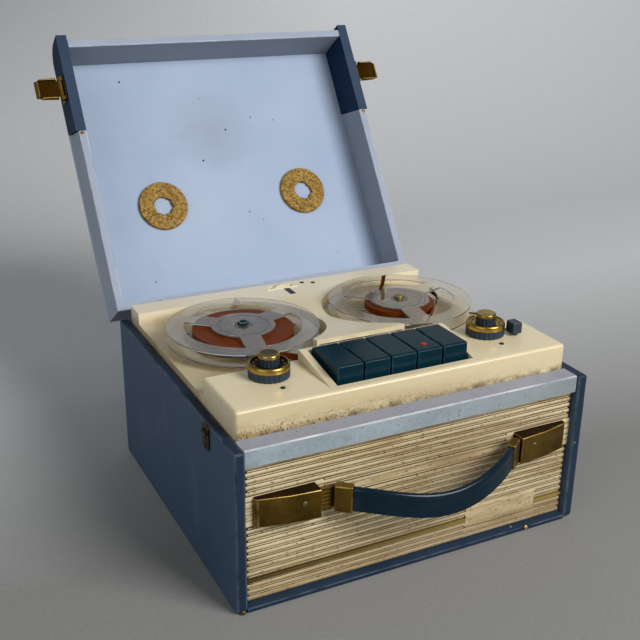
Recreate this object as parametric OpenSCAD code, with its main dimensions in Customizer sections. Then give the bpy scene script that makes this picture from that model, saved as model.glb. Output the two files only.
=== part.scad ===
// Portable reel-to-reel tape recorder in a suitcase, drawn with its lid open.
// The origin lies on the floor under the middle of the case. +Z is up and the front faces -Y.

/* [Case] */
// Width over the side panels
case_w = 350; // [340:1:400]
// Depth of the side panels, front to back
case_d = 314; // [308:1:360]
// Height of the side panels
panel_h = 152; // [148:1:183]
// Thickness of the side panels
panel_t = 9.5; // [8:0.5:12]
// Thickness of the bottom board
board_t = 7.5; // [6:0.5:10]
// Thickness of the back board
back_t = 8; // [5:0.5:9]

/* [Front] */
// Height of the front rail
rail_h = 17; // [12:0.5:22]
// Depth of the front rail
rail_d = 19.5; // [17:0.5:22]
// Set-back of the rail behind the panels' front edges
rail_in = 3; // [1:0.5:4]
// Set-back of the bottom board behind the panels' front edges
lip_in = 0.5; // [0:0.25:2]
// Height of the bottom board's front face, below its slope
lip_h = 4; // [2:0.5:5]
// Set-back of the grille's rib fronts
grille_in = 7; // [5:0.5:8]
// Thickness of the grille board behind its ribs
grille_t = 5; // [3:0.5:8]
// Height of the ribs above their board
rib_depth = 2; // [1:0.25:3]
// Pitch of the ribs
rib_pitch = 5.9; // [5:0.1:8]
// Width of a rib
rib_w = 3.4; // [2:0.1:4]
// Height of the plain pads behind the brackets
band_h = 28; // [26:0.5:34]
// Height of the plain strip between those pads
strip_h = 10; // [6:0.5:14]
// Distance that the ribs end short of the side panels
rib_end = 2.5; // [1:0.5:5]
// Width of the bare plate low on the right
plate_w = 78; // [40:1:90]
// Distance of the bare plate from the side panel
plate_gap = 33.5; // [20:0.5:60]
// Height of the bare plate
plate_h = 20; // [12:0.5:24]
// Height of the trim strip
trim_h = 3; // [2:0.25:5]
// Height of the trim strip above the bottom board
trim_up = 17; // [12:0.5:30]

/* [Handle] */
// Height of the handle's line above the floor
handle_z = 93; // [80:1:104]
// Distance of a bracket's far end from the side panel
bracket_gap = 8.5; // [6:0.5:14]
// Length of a bracket
bracket_l = 56; // [50:1:58]
// Height of a bracket
bracket_h = 27; // [25:0.5:30]
// Depth of a bracket at its mouth
bracket_deep = 14; // [13:0.5:18]
// Depth of a bracket at its far end
bracket_thin = 5; // [4:0.5:7]
// Thickness of a bracket's sheet
sheet_t = 1.5; // [1:0.1:2]
// Thickness of the tongues
tongue_t = 2.5; // [1.5:0.25:3]
// Height of the tongues
tongue_h = 22; // [16:0.5:23]
// Length of the tongues
tongue_l = 36; // [32:1:38]
// Length of a ferrule
ferrule_l = 16; // [12:0.5:20]
// Height of a ferrule
ferrule_h = 25; // [24:0.5:28]
// Thickness of a ferrule
ferrule_t = 9; // [8:0.5:12]
// Outward turn of the ferrules, in degrees
ferrule_turn = 38; // [30:1:44]
// Width of the strap
grip_w = 22.5; // [18:0.5:24]
// Thickness of the strap
grip_t = 6; // [5:0.5:8]
// How far the strap hangs down
grip_droop = 9; // [4:0.5:14]
// End play of the handle
handle_play = 11; // [6:0.5:12]

/* [Deck] */
// Height of the front platform above the panels
plat_up = 24; // [23:0.5:27]
// Height of the reel wells above the panels
floor_up = 5.5; // [4:0.5:6]
// Height of the rear ridge above the panels
ridge_up = 17; // [15:0.5:20]
// Wall thickness of the deck moulding
deck_t = 3; // [2:0.25:3.5]
// Depth of the skirt below the panels' top edges
skirt_h = 6; // [4:0.5:10]
// Depth of the front platform
plat_d = 72; // [68:0.5:73]
// Radius of the wells' inner edge
well_r = 80; // [77:0.5:82]
// Depth of the rear ridge
ridge_d = 26; // [24:0.5:28]
// Width of the gap between the platform and the head cover
slot_w = 20; // [19:0.5:22]
// Half width of the head cover at its front
cover_x = 46.5; // [44:0.5:52]
// Rise of the head cover's front edge above the platform
cover_up = 6; // [5:0.5:8]
// Sheet thickness of the head cover
cover_t = 2.5; // [1.5:0.25:3]

/* [Reels] */
// Radius of a reel
reel_r = 73.5; // [68:0.5:75]
// Height of a reel
reel_h = 13; // [12:0.25:14]
// Distance of a reel's centre from the middle
reel_x = 87; // [84:0.5:89]
// Distance of the reels' centres behind the platform
reel_back = 97.4; // [95:0.1:99]
// Thickness of a flange
flange_t = 1.6; // [1:0.1:2]
// Radius of a reel's hub
hub_r = 26; // [22:0.5:29]
// Radius of the left tape pack
pack_left_r = 44; // [34:0.5:56]
// Radius of the right tape pack
pack_right_r = 36; // [32:0.5:56]
// Width of the tape
tape_w = 6.25; // [6:0.05:6.5]
// Radius of a spindle
spindle_r = 4; // [3:0.1:5]
// Gap between a reel and the floor of its well
reel_up = 6; // [5:0.5:7]

/* [Keys] */
// Width of a key
key_w = 25; // [23:0.25:25.4]
// Pitch of the keys
key_pitch = 26.4; // [26:0.1:27]
// Depth of a key, front to back
key_d = 51; // [44:0.5:53]
// Height of the keys' front edges above the platform
key_up = 14.5; // [11:0.5:16]
// Fall of the key tops towards the back
key_fall = 0.5; // [0:0.25:3]
// Gap in front of the keys
key_room = 5; // [3:0.25:6]
// Radius of the key axle
axle_r = 2; // [1.5:0.1:2.5]

/* [Controls] */
// Distance of the knobs from the middle
knob_x = 111.5; // [108:0.5:114]
// Radius of an outer knob
ring_r = 18.3; // [16:0.1:20]
// Height of an outer knob
ring_h = 13; // [11:0.25:13.5]
// Depth of the dish in an outer knob's top
ring_dish = 3.4; // [2:0.1:5]
// Radius of an inner knob
inner_r = 9.5; // [8:0.25:11]
// Height of an inner knob
inner_h = 10.8; // [8:0.1:11.2]
// Travel of the selector
selector_run = 18; // [10:0.5:22]

/* [Lid] */
// Depth of the lid's inside
lid_depth = 46; // [45:0.5:60]
// Thickness of the lid's walls
lid_wall = 8.5; // [7:0.25:9]
// Thickness of the lid's panel
lid_panel_t = 5; // [3:0.25:7]
// Set-back of the lid's front wall behind the panels' front edges
lid_in = 8; // [6:0.5:10]
// Angle of the open lid
lid_open = 123.5; // [100:0.5:130]
// Length of a cheek block
cheek_l = 105; // [80:1:120]
// Depth of a cheek's outer plate
cheek_deep = 38; // [30:0.5:42]
// How much shorter a cheek's lower end is at its back
cheek_cut = 11; // [4:0.5:16]
// Radius of a cheek's front corner
cheek_nose = 20; // [8:1:26]
// How far a cheek's inner layer stops short of its slanted end
cheek_step = 0.6; // [0.3:0.1:2]
// How far a cheek stands out sideways
cheek_proud = 2.8; // [1:0.1:4]
// How far a cheek stands out in front of the lid
cheek_over = 6; // [3:0.5:7]
// Outer radius of a ring pad
pad_r = 28; // [22:0.5:34]
// Radius of a ring pad's hole
pad_hole = 11.5; // [9:0.5:15]
// Thickness of a ring pad
pad_t = 4.5; // [2:0.25:6]

/* [Hinges and latches] */
// Distance of the hinge axis behind the case
hinge_out = 5; // [4.5:0.1:6]
// Height of the hinge axis above the panels
hinge_up = 1.8; // [1:0.1:3]
// Radius of a hinge knuckle
knuckle_r = 3.2; // [2.8:0.1:4]
// Radius of a hinge pin
pin_r = 1.5; // [1:0.1:2]
// Length of a hinge
hinge_l = 60; // [40:1:80]
// Distance of a hinge from the middle
hinge_x = 110; // [80:1:120]
// Width of a latch
latch_w = 26; // [20:0.5:30]
// Length of a latch lever
latch_l = 26; // [18:0.5:28]
// Distance of the latches behind the lid's front
latch_back = 52; // [40:1:70]

/* [Mechanism] */
// Radius of the flywheel
flywheel_r = 36; // [28:0.5:40]
// Radius of the motor pulley
pulley_r = 6; // [4:0.25:9]
// Radius of the motor
motor_r = 33; // [28:0.5:36]
// Height of the motor
motor_h = 50; // [40:1:52]
// Radius of the capstan
capstan_r = 2.5; // [2:0.1:3]
// Radius of the pinch roller
roller_r = 5; // [4:0.1:5.4]
// Radius of the loudspeaker
speaker_r = 46; // [40:0.5:48]
// Distance of the loudspeaker from the right side panel
speaker_gap = 34.5; // [20:0.5:50]
// Radius of the loudspeaker's magnet
magnet_r = 24; // [18:0.5:28]
// Depth of the loudspeaker
speaker_d = 42; // [36:0.5:46]

/* [Electrics] */
// Width of the transformer
core_w = 54; // [44:1:60]
// Depth of the transformer
core_d = 52; // [44:1:60]
// Height of the transformer
core_h = 42; // [36:1:50]
// Distance of the transformer from the left side panel
core_side = 35.5; // [20:0.5:50]
// Distance of the transformer from the back board
core_rear = 27; // [12:0.5:40]
// Width of the amplifier's chassis
amp_w = 130; // [120:1:140]
// Depth of the amplifier's chassis
amp_d = 70; // [60:1:80]
// Height of the amplifier's chassis
amp_h = 30; // [24:0.5:34]
// Distance of the amplifier from the left side panel
amp_side = 25.5; // [15:0.5:35]
// Distance of the amplifier behind the grille
amp_rear = 93; // [70:1:100]
// Radius of a valve
valve_r = 10; // [8:0.25:12]
// Height of a valve's straight part
valve_h = 40; // [30:1:44]
// Pitch of the valves
valve_pitch = 28; // [26:0.5:30]

/* [Hidden] */
$fn = 64;

// Clearances: a running fit, a gap between moving pieces, and a gap around the deck
fit = 0.06;
clear = 0.5;
deck_gap = 1;

// Case
half_w = case_w / 2;
inner_x = half_w - panel_t;
front_y = -case_d / 2;
back_y = case_d / 2;
board_z = board_t;
split_z = panel_h;

// Front
rail_front = front_y + rail_in;
rail_back = rail_front + rail_d;
rib_front = front_y + grille_in;
rib_root = rib_front + rib_depth;
grille_back = rib_root + grille_t;
grille_top = split_z - rail_h;
trim_z = board_z + trim_up;
band_z = handle_z - band_h / 2;
strip_z = handle_z + 1 - strip_h / 2;
bracket_x = inner_x - bracket_gap - bracket_l;
pad_in = bracket_x - 8;
plate_x = inner_x - plate_gap - plate_w;
plate_z = board_z + 10.5;
rib_count = floor((grille_top - board_z - rib_w) / rib_pitch) + 1;
speaker_x = inner_x - speaker_gap - speaker_r;
speaker_z = board_z + speaker_r + 8;

// Handle
handle_y = rib_front - 6.2;
ferrule_y = handle_y - 1.8;
handle_mid = handle_play / 2;
handle_half = bracket_x - clear - handle_play / 2;
ferrule_x = handle_half - ferrule_t / 2 * sin(ferrule_turn);
grip_play = 0.05;
grip_half = ferrule_x - (ferrule_l + grip_play) * cos(ferrule_turn);
grip_y = ferrule_y - (ferrule_l + grip_play) * sin(ferrule_turn);
grip_round = grip_half / sin(ferrule_turn);
grip_steps = 28;

// Deck
deck_x = inner_x - deck_gap;
deck_front = rail_back + clear;
deck_back = back_y - back_t - deck_gap;
floor_z = split_z + floor_up;
plat_z = split_z + plat_up;
ridge_z = split_z + ridge_up;
skirt_z = split_z - skirt_h;
plat_back = deck_front + plat_d;
cover_front = plat_back + slot_w;
ridge_front = deck_back - ridge_d;
reel_y = plat_back + reel_back;
plateau_front = reel_y + 4.6;
plateau_x = 60;

// Chassis
chassis_t = 2;
rail_w = 10;
chassis_top = skirt_z - 10;
bush_top = floor_z - deck_t - 3;

// Reels and tape
reel_z = floor_z + reel_up;
tape_z = reel_z + reel_h / 2;
tape_t = 0.4;
tape_y = plat_back + 13;
table_r = 24;
shaft_r = 5;
guide_r = 2.5;
guide_x = 60;
guide_y = tape_y + tape_t / 2 + 0.1 + guide_r;
corner_x = guide_x + 1.3;
capstan_x = 30;
capstan_y = tape_y + tape_t / 2 + 0.3 + capstan_r;
roller_gap = 1.5;
roller_y = tape_y - tape_t / 2 - roller_gap - roller_r;
arm_x = capstan_x + 20;

// Keys
key_names = 5;
key_back = plat_back - 6;
key_front = key_back - key_d;
key_top = plat_z + key_up;
key_low = plat_z - 13;
axle_y = key_back - 5;
axle_z = key_low + 5;
axle_over = 5;
bank_x = (key_names - 1) / 2 * key_pitch + key_w / 2;
hood_x = bank_x + 3;
hood_z = key_top - key_fall - 4;

// Controls
knob_y = plat_back - ring_r - 0.6;
knob_z = plat_z + clear;
ring_shaft_r = 6;
knob_shaft_r = 4;
selector_x = knob_x + ring_r + 5 + 0.8;
selector_y = knob_y - 12.5;
pot_top = plat_z - 17;
pot_h = 14;
pot_r = 13;
pot_neck_r = 9;

// Lid, described in its closed place
lid_z = split_z + 0.4;
lid_x = half_w - 0.5;
lid_front = front_y + lid_in;
lid_floor = lid_z + lid_depth;
lid_top = lid_floor + lid_panel_t;
hinge_y = back_y + hinge_out;
hinge_z = split_z + hinge_up;
leaf_t = 1.5;
leaf_h = 20;
cheek_x = lid_x + cheek_proud;
latch_y = lid_front + latch_back;
latch_pin_r = 1.2;
latch_knuckle_r = 2.6;
latch_x = cheek_x + 1.2 + latch_knuckle_r;
latch_z = lid_z + 9;

// Drive
flywheel_h = 12;
flywheel_z = chassis_top - flywheel_h - 8;
pulley_z = flywheel_z + 1;
motor_x = 60;
motor_y = reel_y + 34;
motor_top = chassis_top - chassis_t - 23;

// Extrudes a profile drawn in Y and Z along X
module along_x(x, length) {
    translate([x, 0, 0]) rotate([90, 0, 90]) linear_extrude(length) children();
}

// A box given by its low and high corners
module box(low, high) {
    translate(low) cube(high - low);
}

// A cylinder along X, Y or Z from a start point
module rod_x(p, r, length) {
    translate(p) rotate([0, 90, 0]) cylinder(r = r, h = length);
}
module rod_y(p, r, length) {
    translate(p) rotate([-90, 0, 0]) cylinder(r = r, h = length);
}
module rod_z(p, r, length) {
    translate(p) cylinder(r = r, h = length);
}

// Draws children and their mirror image across the middle
module both_sides() {
    children();
    mirror([1, 0, 0]) children();
}

// Turns a lid piece from its closed place to the open one
module opened() {
    translate([0, hinge_y, hinge_z]) rotate([-lid_open, 0, 0]) translate([0, -hinge_y, -hinge_z]) children();
}

module case_bottom() {
    lip_y = front_y + lip_in;
    color("darkslateblue") along_x(-inner_x, 2 * inner_x)
        polygon([[lip_y, 0], [back_y, 0], [back_y, board_z], [rib_front, board_z], [lip_y, lip_h]]);
}

module case_side() {
    box([inner_x, front_y, 0], [half_w, back_y, split_z]);
}

module case_side_left() {
    color("darkslateblue") mirror([1, 0, 0]) case_side();
}

module case_side_right() {
    color("darkslateblue") case_side();
}

inlet_gap = 44.5;
inlet_w = 32;
inlet_h = 22;
inlet_x = inner_x - inlet_gap - inlet_w / 2;
inlet_z = board_z + 34;

module case_back() {
    color("darkslateblue") difference() {
        box([-inner_x, back_y - back_t, board_z], [inner_x, back_y, split_z]);
        box([inlet_x - inlet_w / 2, back_y - back_t - 1, inlet_z - inlet_h / 2],
            [inlet_x + inlet_w / 2, back_y + 1, inlet_z + inlet_h / 2]);
    }
}

module front_rail() {
    color("lightsteelblue") box([-inner_x, rail_front, grille_top], [inner_x, rail_back, split_z]);
}

function rib_z(i) = board_z + i * rib_pitch;
function apart(z, low, height) = z + rib_w < low || z > low + height;
function off_trim(z) = apart(z, trim_z - 0.5, trim_h + 1);
function rib_free(z) = apart(z, band_z, band_h) && off_trim(z);

module grille_back_profile() {
    translate([rib_root, board_z]) square([grille_t, grille_top - board_z]);
}

module grille_profile() {
    for (i = [0 : rib_count - 1]) if (rib_free(rib_z(i)))
        translate([rib_front, rib_z(i)]) square([rib_depth + 0.1, rib_w]);
}

// Between the pads: the plain strip, and the ribs above and below it
module middle_profile() {
    translate([rib_front, strip_z]) square([rib_depth + 0.1, strip_h]);
    for (i = [0 : rib_count - 1]) if (!apart(rib_z(i), band_z, band_h) && apart(rib_z(i), strip_z, strip_h))
        translate([rib_front, rib_z(i)]) square([rib_depth + 0.1, rib_w]);
}

module front_grille() {
    color("wheat") difference() {
        union() {
            along_x(-inner_x, 2 * inner_x) grille_back_profile();
            along_x(-inner_x + rib_end, 2 * (inner_x - rib_end)) grille_profile();
            along_x(-pad_in - 1, 2 * pad_in + 2) middle_profile();
            both_sides() box([pad_in, rib_front, band_z], [inner_x, rib_root + 0.1, band_z + band_h]);
            box([plate_x, rib_front - 0.2, plate_z], [plate_x + plate_w, rib_root + 0.1, plate_z + plate_h]);
        }
        for (i = [0 : rib_count - 2])
            let (z = rib_z(i) + rib_w, gap = rib_pitch - rib_w, off = abs(z + gap / 2 - speaker_z))
                if (z > plate_z + plate_h && z + gap < band_z && off < speaker_r - 10)
                    let (reach = sqrt(pow(speaker_r - 4, 2) - off * off))
                        box([speaker_x - reach, rib_root - 0.5, z + 0.2],
                            [speaker_x + reach, grille_back + 1, z + gap - 0.2]);
    }
}

module grille_trim() {
    color("goldenrod") {
        box([-inner_x + 1, rib_front - 0.5, trim_z], [plate_x - 0.5, rib_root, trim_z + trim_h]);
        box([plate_x + plate_w + 0.5, rib_front - 0.5, trim_z], [inner_x - 1, rib_root, trim_z + trim_h]);
    }
}

// A bracket's top outline, less an inset
module bracket_outline(inset, over) {
    far = bracket_x + bracket_l - inset;
    polygon([
        [bracket_x - over, rib_front + over],
        [bracket_x - over, rib_front - bracket_deep + inset],
        [bracket_x + bracket_l / 2, rib_front - bracket_deep * 0.8 + inset],
        [far - 2, rib_front - bracket_thin + inset - 0.5],
        [far, rib_front - bracket_thin + inset + 1.5],
        [far, rib_front + over]
    ]);
}

module handle_brackets() {
    color("darkgoldenrod") both_sides() {
        difference() {
            translate([0, 0, handle_z - bracket_h / 2]) linear_extrude(bracket_h) bracket_outline(0, 0);
            translate([0, 0, handle_z - bracket_h / 2 + sheet_t])
                linear_extrude(bracket_h - 2 * sheet_t) bracket_outline(sheet_t, 1);
        }
        difference() {
            box([bracket_x + 0.6, handle_y - tongue_t / 2 - 1.6, handle_z - bracket_h / 2 + sheet_t],
                [bracket_x + 11, rib_front, handle_z + bracket_h / 2 - sheet_t]);
            box([bracket_x, handle_y - tongue_t / 2 - 0.3, handle_z - tongue_h / 2 - 0.3],
                [bracket_x + 12, handle_y + tongue_t / 2 + 0.3, handle_z + tongue_h / 2 + 0.3]);
        }
    }
}

module latch_keepers() {
    color("darkgoldenrod") both_sides() {
        box([half_w, latch_y - 7, split_z - 24], [half_w + 1.5, latch_y + 7, split_z]);
        box([half_w + 1.5, latch_y - 5, split_z - 9], [half_w + 3.2, latch_y + 5, split_z - 6.5]);
        for (z = [split_z - 20, split_z - 13.5])
            rod_x([half_w + 1.5, latch_y, z], 2, 0.8);
    }
}

module handle_ends() {
    color("darkgoldenrod") translate([handle_mid, 0, 0]) both_sides() {
        box([ferrule_x - 3, handle_y - tongue_t / 2, handle_z - tongue_h / 2],
            [handle_half + tongue_l, handle_y + tongue_t / 2, handle_z + tongue_h / 2]);
        translate([ferrule_x, ferrule_y, handle_z]) rotate([0, 0, ferrule_turn])
            box([-ferrule_l, -ferrule_t / 2, -ferrule_h / 2], [0, ferrule_t / 2, ferrule_h / 2]);
    }
}

// The strap's middle line: an arc between the ferrules' mouths that hangs down in the middle
function grip_angle(t) = ferrule_turn * (2 * t - 1);
function grip_at(t) = [
    handle_mid + grip_round * sin(grip_angle(t)),
    grip_y - grip_round * (cos(grip_angle(t)) - cos(ferrule_turn)),
    handle_z - grip_droop * (1 - cos(360 * t)) / 2
];
function grip_out(t) = [sin(grip_angle(t)), -cos(grip_angle(t)), 0];
grip_edge = 1.8;
grip_section = [
    for (c = [[1, 1], [-1, 1], [-1, -1], [1, -1]])
        for (first = c[0] * c[1] > 0 ? [0, 1] : [1, 0])
            [c[0] * (grip_t / 2 - first * grip_edge), c[1] * (grip_w / 2 - (1 - first) * grip_edge)]
];
function grip_ring(t) = [for (p = grip_section) grip_at(t) + grip_out(t) * p[0] + [0, 0, p[1]]];

module handle_grip() {
    n = len(grip_section);
    points = [for (i = [0 : grip_steps]) each grip_ring(i / grip_steps)];
    last = grip_steps * n;
    sides = [
        for (i = [0 : grip_steps - 1]) for (j = [0 : n - 1])
            let (a = i * n + j, b = i * n + (j + 1) % n)
                each [[a, b, b + n], [a, b + n, a + n]]
    ];
    ends = [for (j = [1 : n - 2]) each [[0, j + 1, j], [last, last + j, last + j + 1]]];
    color("midnightblue") polyhedron(points, concat(sides, ends));
}

module wells(r) {
    for (side = [-1, 1]) translate([side * reel_x, reel_y]) circle(r);
}

// The raised rear of the deck: the ridge and the plateau between the wells
module rear_outline(inset) {
    difference() {
        union() {
            translate([-deck_x + inset, ridge_front + inset])
                square([2 * (deck_x - inset), ridge_d - 2 * inset]);
            translate([-plateau_x + inset, plateau_front + inset])
                square([2 * (plateau_x - inset), ridge_front - plateau_front + 2]);
        }
        wells(well_r + inset);
    }
}

module key_room_outline() {
    translate([-hood_x, key_front - key_room]) square([2 * hood_x, key_d + key_room + 1.2]);
}

window_x = 2;
window_low = ridge_front - 11;
counter_z = ridge_z - 8.6;
wheel_x = -1;
wheel_y = ridge_front + 15.5;
wheel_r = 11.5;

module deck_cover() {
    color("ivory") difference() {
        union() {
            box([-deck_x, deck_front, skirt_z], [deck_x, deck_back, floor_z]);
            box([-deck_x, deck_front, skirt_z], [deck_x, plat_back, plat_z]);
            translate([0, 0, skirt_z]) linear_extrude(ridge_z - skirt_z) rear_outline(0);
            box([-hood_x - 7, key_back + 1.2, skirt_z], [hood_x + 7, plat_back, hood_z]);
            both_sides() along_x(hood_x, 7) polygon([
                [key_front - key_room - 2, plat_z - 1], [plat_back, plat_z - 1],
                [plat_back, hood_z], [key_back, hood_z], [key_front - key_room - 2, plat_z]
            ]);
        }
        // Hollows under the platform, the wells and the rear
        box([-deck_x + deck_t, deck_front + deck_t, skirt_z - 1],
            [deck_x - deck_t, plat_back - deck_t, plat_z - deck_t]);
        box([-deck_x + deck_t, deck_front + deck_t, skirt_z - 1],
            [deck_x - deck_t, deck_back - deck_t, floor_z - deck_t]);
        translate([0, 0, skirt_z - 1]) linear_extrude(ridge_z - deck_t - skirt_z + 1) rear_outline(deck_t);
        // Keys, controls, shafts and counter
        translate([0, 0, plat_z - deck_t - 1]) linear_extrude(2 * key_up) key_room_outline();
        both_sides() rod_z([knob_x, knob_y, plat_z - 10], ring_shaft_r + clear, 20);
        box([selector_x - 2, selector_y - 4, plat_z - 10],
            [selector_x + 2, selector_y + selector_run + 4, plat_z + 1]);
        both_sides() rod_z([reel_x, reel_y, skirt_z], shaft_r + 0.8, 20);
        rod_z([capstan_x, capstan_y, skirt_z], capstan_r + 1.5, 20);
        box([window_x - 3.5, window_low, ridge_z - 10], [window_x + 3.5, window_low + 23, ridge_z + 1]);
        box([wheel_x - wheel_r - 2, wheel_y - 3.1, ridge_z - 10],
            [wheel_x + wheel_r + 2, wheel_y + 3.1, ridge_z + 1]);
    }
}

// The head cover's plan, less an inset
module cover_outline(inset) {
    difference() {
        translate([-cover_x + inset, cover_front + inset])
            square([2 * (cover_x - inset), plateau_front - cover_front - 2 * inset]);
        wells(well_r + inset);
    }
}

cover_rise = plat_z + cover_up - ridge_z;
cover_run = plateau_front - cover_front;

// The space under the head cover's sloping top, lowered by a thickness
module under_slope(drop) {
    along_x(-cover_x - 1, 2 * cover_x + 2) polygon([
        [cover_front - 1, floor_z - 1], [plateau_front + 1, floor_z - 1],
        [plateau_front + 1, ridge_z - cover_rise / cover_run - drop],
        [cover_front - 1, ridge_z + cover_rise * (cover_run + 1) / cover_run - drop]
    ]);
}

cover_lip = 8;
cover_gate = 30;

module head_cover() {
    color("ivory") difference() {
        intersection() {
            translate([0, 0, floor_z]) linear_extrude(60) cover_outline(0);
            under_slope(0);
        }
        intersection() {
            translate([0, 0, floor_z - 1]) linear_extrude(60) cover_outline(cover_t);
            under_slope(cover_t);
        }
        // Front opening for the heads, and the tape slots in the sides
        box([-cover_x + cover_t, cover_front - 1, floor_z - 1],
            [cover_x - cover_t, cover_front + cover_t + 1, plat_z + 1.5]);
        box([-cover_x - 1, cover_front + cover_lip, tape_z - 6],
            [cover_x + 1, cover_front + cover_lip + cover_gate, tape_z + 4]);
    }
}

module deck_rails() {
    color("burlywood") both_sides()
        box([inner_x - rail_w, deck_front + 4, chassis_top], [inner_x, deck_back - 2, skirt_z]);
}

module chassis_plate() {
    color("silver") difference() {
        box([-deck_x, deck_front + 9, chassis_top - chassis_t], [deck_x, deck_back - 2, chassis_top]);
        both_sides() rod_z([reel_x, reel_y, chassis_top - 10], shaft_r + 0.6, 20);
        rod_z([capstan_x, capstan_y, chassis_top - 10], capstan_r + 0.6, 20);
    }
}

module bush(p, r, wall) {
    difference() {
        rod_z(p, r + wall, bush_top - chassis_top);
        rod_z(p - [0, 0, 1], r + fit, bush_top - chassis_top + 2);
    }
}

module shaft_bearings() {
    color("peru") {
        both_sides() bush([reel_x, reel_y, chassis_top], shaft_r, 4);
        bush([capstan_x, capstan_y, chassis_top], capstan_r, 4);
    }
}

module motor() {
    color("dimgray") difference() {
        union() {
            rod_z([motor_x, motor_y, motor_top - motor_h], motor_r, motor_h);
            for (a = [90, 210, 330])
                rod_z([motor_x + (motor_r - 6) * cos(a), motor_y + (motor_r - 6) * sin(a), motor_top - 1], 4,
                    chassis_top - chassis_t - motor_top + 1);
        }
        rod_z([motor_x, motor_y, motor_top - 12], capstan_r + fit, 20);
    }
}

module motor_pulley() {
    color("goldenrod") {
        rod_z([motor_x, motor_y, pulley_z], pulley_r, 10);
        rod_z([motor_x, motor_y, motor_top - 11], capstan_r, pulley_z - motor_top + 12);
    }
}

module belt_outline(grow) {
    hull() {
        translate([motor_x, motor_y]) circle(pulley_r + grow, $fn = 32);
        translate([capstan_x, capstan_y]) circle(flywheel_r + grow, $fn = 64);
    }
}

module drive_belt() {
    color("black") translate([0, 0, pulley_z + 2]) linear_extrude(6) difference() {
        belt_outline(1.8);
        belt_outline(0.5);
    }
}

module capstan_flywheel() {
    color("silver") {
        rod_z([capstan_x, capstan_y, flywheel_z], flywheel_r, flywheel_h);
        rod_z([capstan_x, capstan_y, flywheel_z - 3], capstan_r, tape_z + 6 - flywheel_z + 3);
    }
}

arm_z = floor_z + 0.6;

module pinch_arm() {
    color("silver") {
        difference() {
            union() {
                box([capstan_x, roller_y - 3, arm_z], [arm_x, roller_y + 3, arm_z + 2]);
                rod_z([capstan_x, roller_y, arm_z], 3, 2);
                rod_z([arm_x, roller_y, arm_z], 4, 4);
            }
            rod_z([arm_x, roller_y, arm_z - 1], 2 + fit, 8);
        }
        rod_z([capstan_x, roller_y, arm_z + 1], 1.5, tape_z + 6 - arm_z);
    }
}

module pinch_roller() {
    color("black") difference() {
        rod_z([capstan_x, roller_y, arm_z + 2.5], roller_r, tape_z + 5 - arm_z - 2.5);
        rod_z([capstan_x, roller_y, arm_z], 1.5 + fit, 30);
    }
}

module tape_heads() {
    color("gray") {
        box([-36, tape_y + 2.5, floor_z], [16, tape_y + 12, floor_z + 4]);
        for (x = [-26, 4]) {
            box([x - 6, tape_y + 6, floor_z + 3], [x + 6, tape_y + 12, tape_z + 6.5]);
            rod_z([x, tape_y + 6.6, floor_z + 3], 6, tape_z + 3.5 - floor_z);
        }
    }
}

module tape_guides() {
    color("silver") {
        both_sides() {
            rod_z([guide_x, guide_y, floor_z], guide_r, tape_z + 5 - floor_z);
            rod_z([guide_x, guide_y, floor_z], guide_r + 1.5, tape_z - tape_w / 2 - 0.5 - floor_z);
            rod_z([guide_x, guide_y, tape_z + tape_w / 2 + 0.5], guide_r + 1.5, 1.5);
        }
        rod_z([arm_x, roller_y, floor_z], 2, 6);
    }
}

// Where the tape from a guide touches a pack on its outer side
function touch(r) =
    let (dx = reel_x - corner_x, dy = reel_y - tape_y, d = norm([dx, dy]))
    let (a = atan2(dy, dx) - asin(r / d), run = sqrt(d * d - r * r))
    [corner_x + run * cos(a), tape_y + run * sin(a)];

// The tape's line from pack to pack, and a mitred point beside it at one of its corners
function turned(v) = [-v[1], v[0]] / norm(v);
tape_line = [
    [-touch(pack_left_r + 0.6)[0], touch(pack_left_r + 0.6)[1]],
    [-corner_x, tape_y],
    [corner_x, tape_y],
    touch(pack_right_r + 0.6)
];
function beside(i, h) =
    let (before = turned(tape_line[max(i, 1)] - tape_line[max(i, 1) - 1]))
    let (after = turned(tape_line[min(i, 2) + 1] - tape_line[min(i, 2)]))
    let (m = (before + after) / norm(before + after))
    tape_line[i] + m * h / (m * after);

module tape_run() {
    h = tape_t / 2;
    color("saddlebrown") translate([0, 0, tape_z - tape_w / 2]) linear_extrude(height = tape_w)
        polygon(concat([for (i = [0:3]) beside(i, h)], [for (i = [3:-1:0]) beside(i, -h)]));
}

core_x = -inner_x + core_side;
core_y = back_y - back_t - core_rear - core_d;

// Winding around the middle of a closed core
module transformer() {
    color("dimgray") {
        box([core_x, core_y, board_z], [core_x + core_w, core_y + core_d, board_z + core_h]);
        box([core_x + 4, core_y - 6, board_z + 8],
            [core_x + core_w - 4, core_y + core_d + 6, board_z + core_h - 8]);
    }
}

amp_t = 1.5;
amp_x = -inner_x + amp_side;
amp_y = grille_back + amp_rear;

module amplifier_chassis() {
    color("silver") difference() {
        box([amp_x, amp_y, board_z], [amp_x + amp_w, amp_y + amp_d, board_z + amp_h]);
        box([amp_x + amp_t, amp_y + amp_t, board_z - 1],
            [amp_x + amp_w - amp_t, amp_y + amp_d - amp_t, board_z + amp_h - amp_t]);
    }
}

valve_count = 4;
valve_x = amp_x + (amp_w - (valve_count - 1) * valve_pitch) / 2;

module valves() {
    color("lightgray") for (i = [0 : valve_count - 1])
        translate([valve_x + i * valve_pitch, amp_y + amp_d / 2, board_z + amp_h]) {
            cylinder(r = valve_r, h = valve_h);
            translate([0, 0, valve_h]) sphere(r = valve_r);
        }
}

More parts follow.
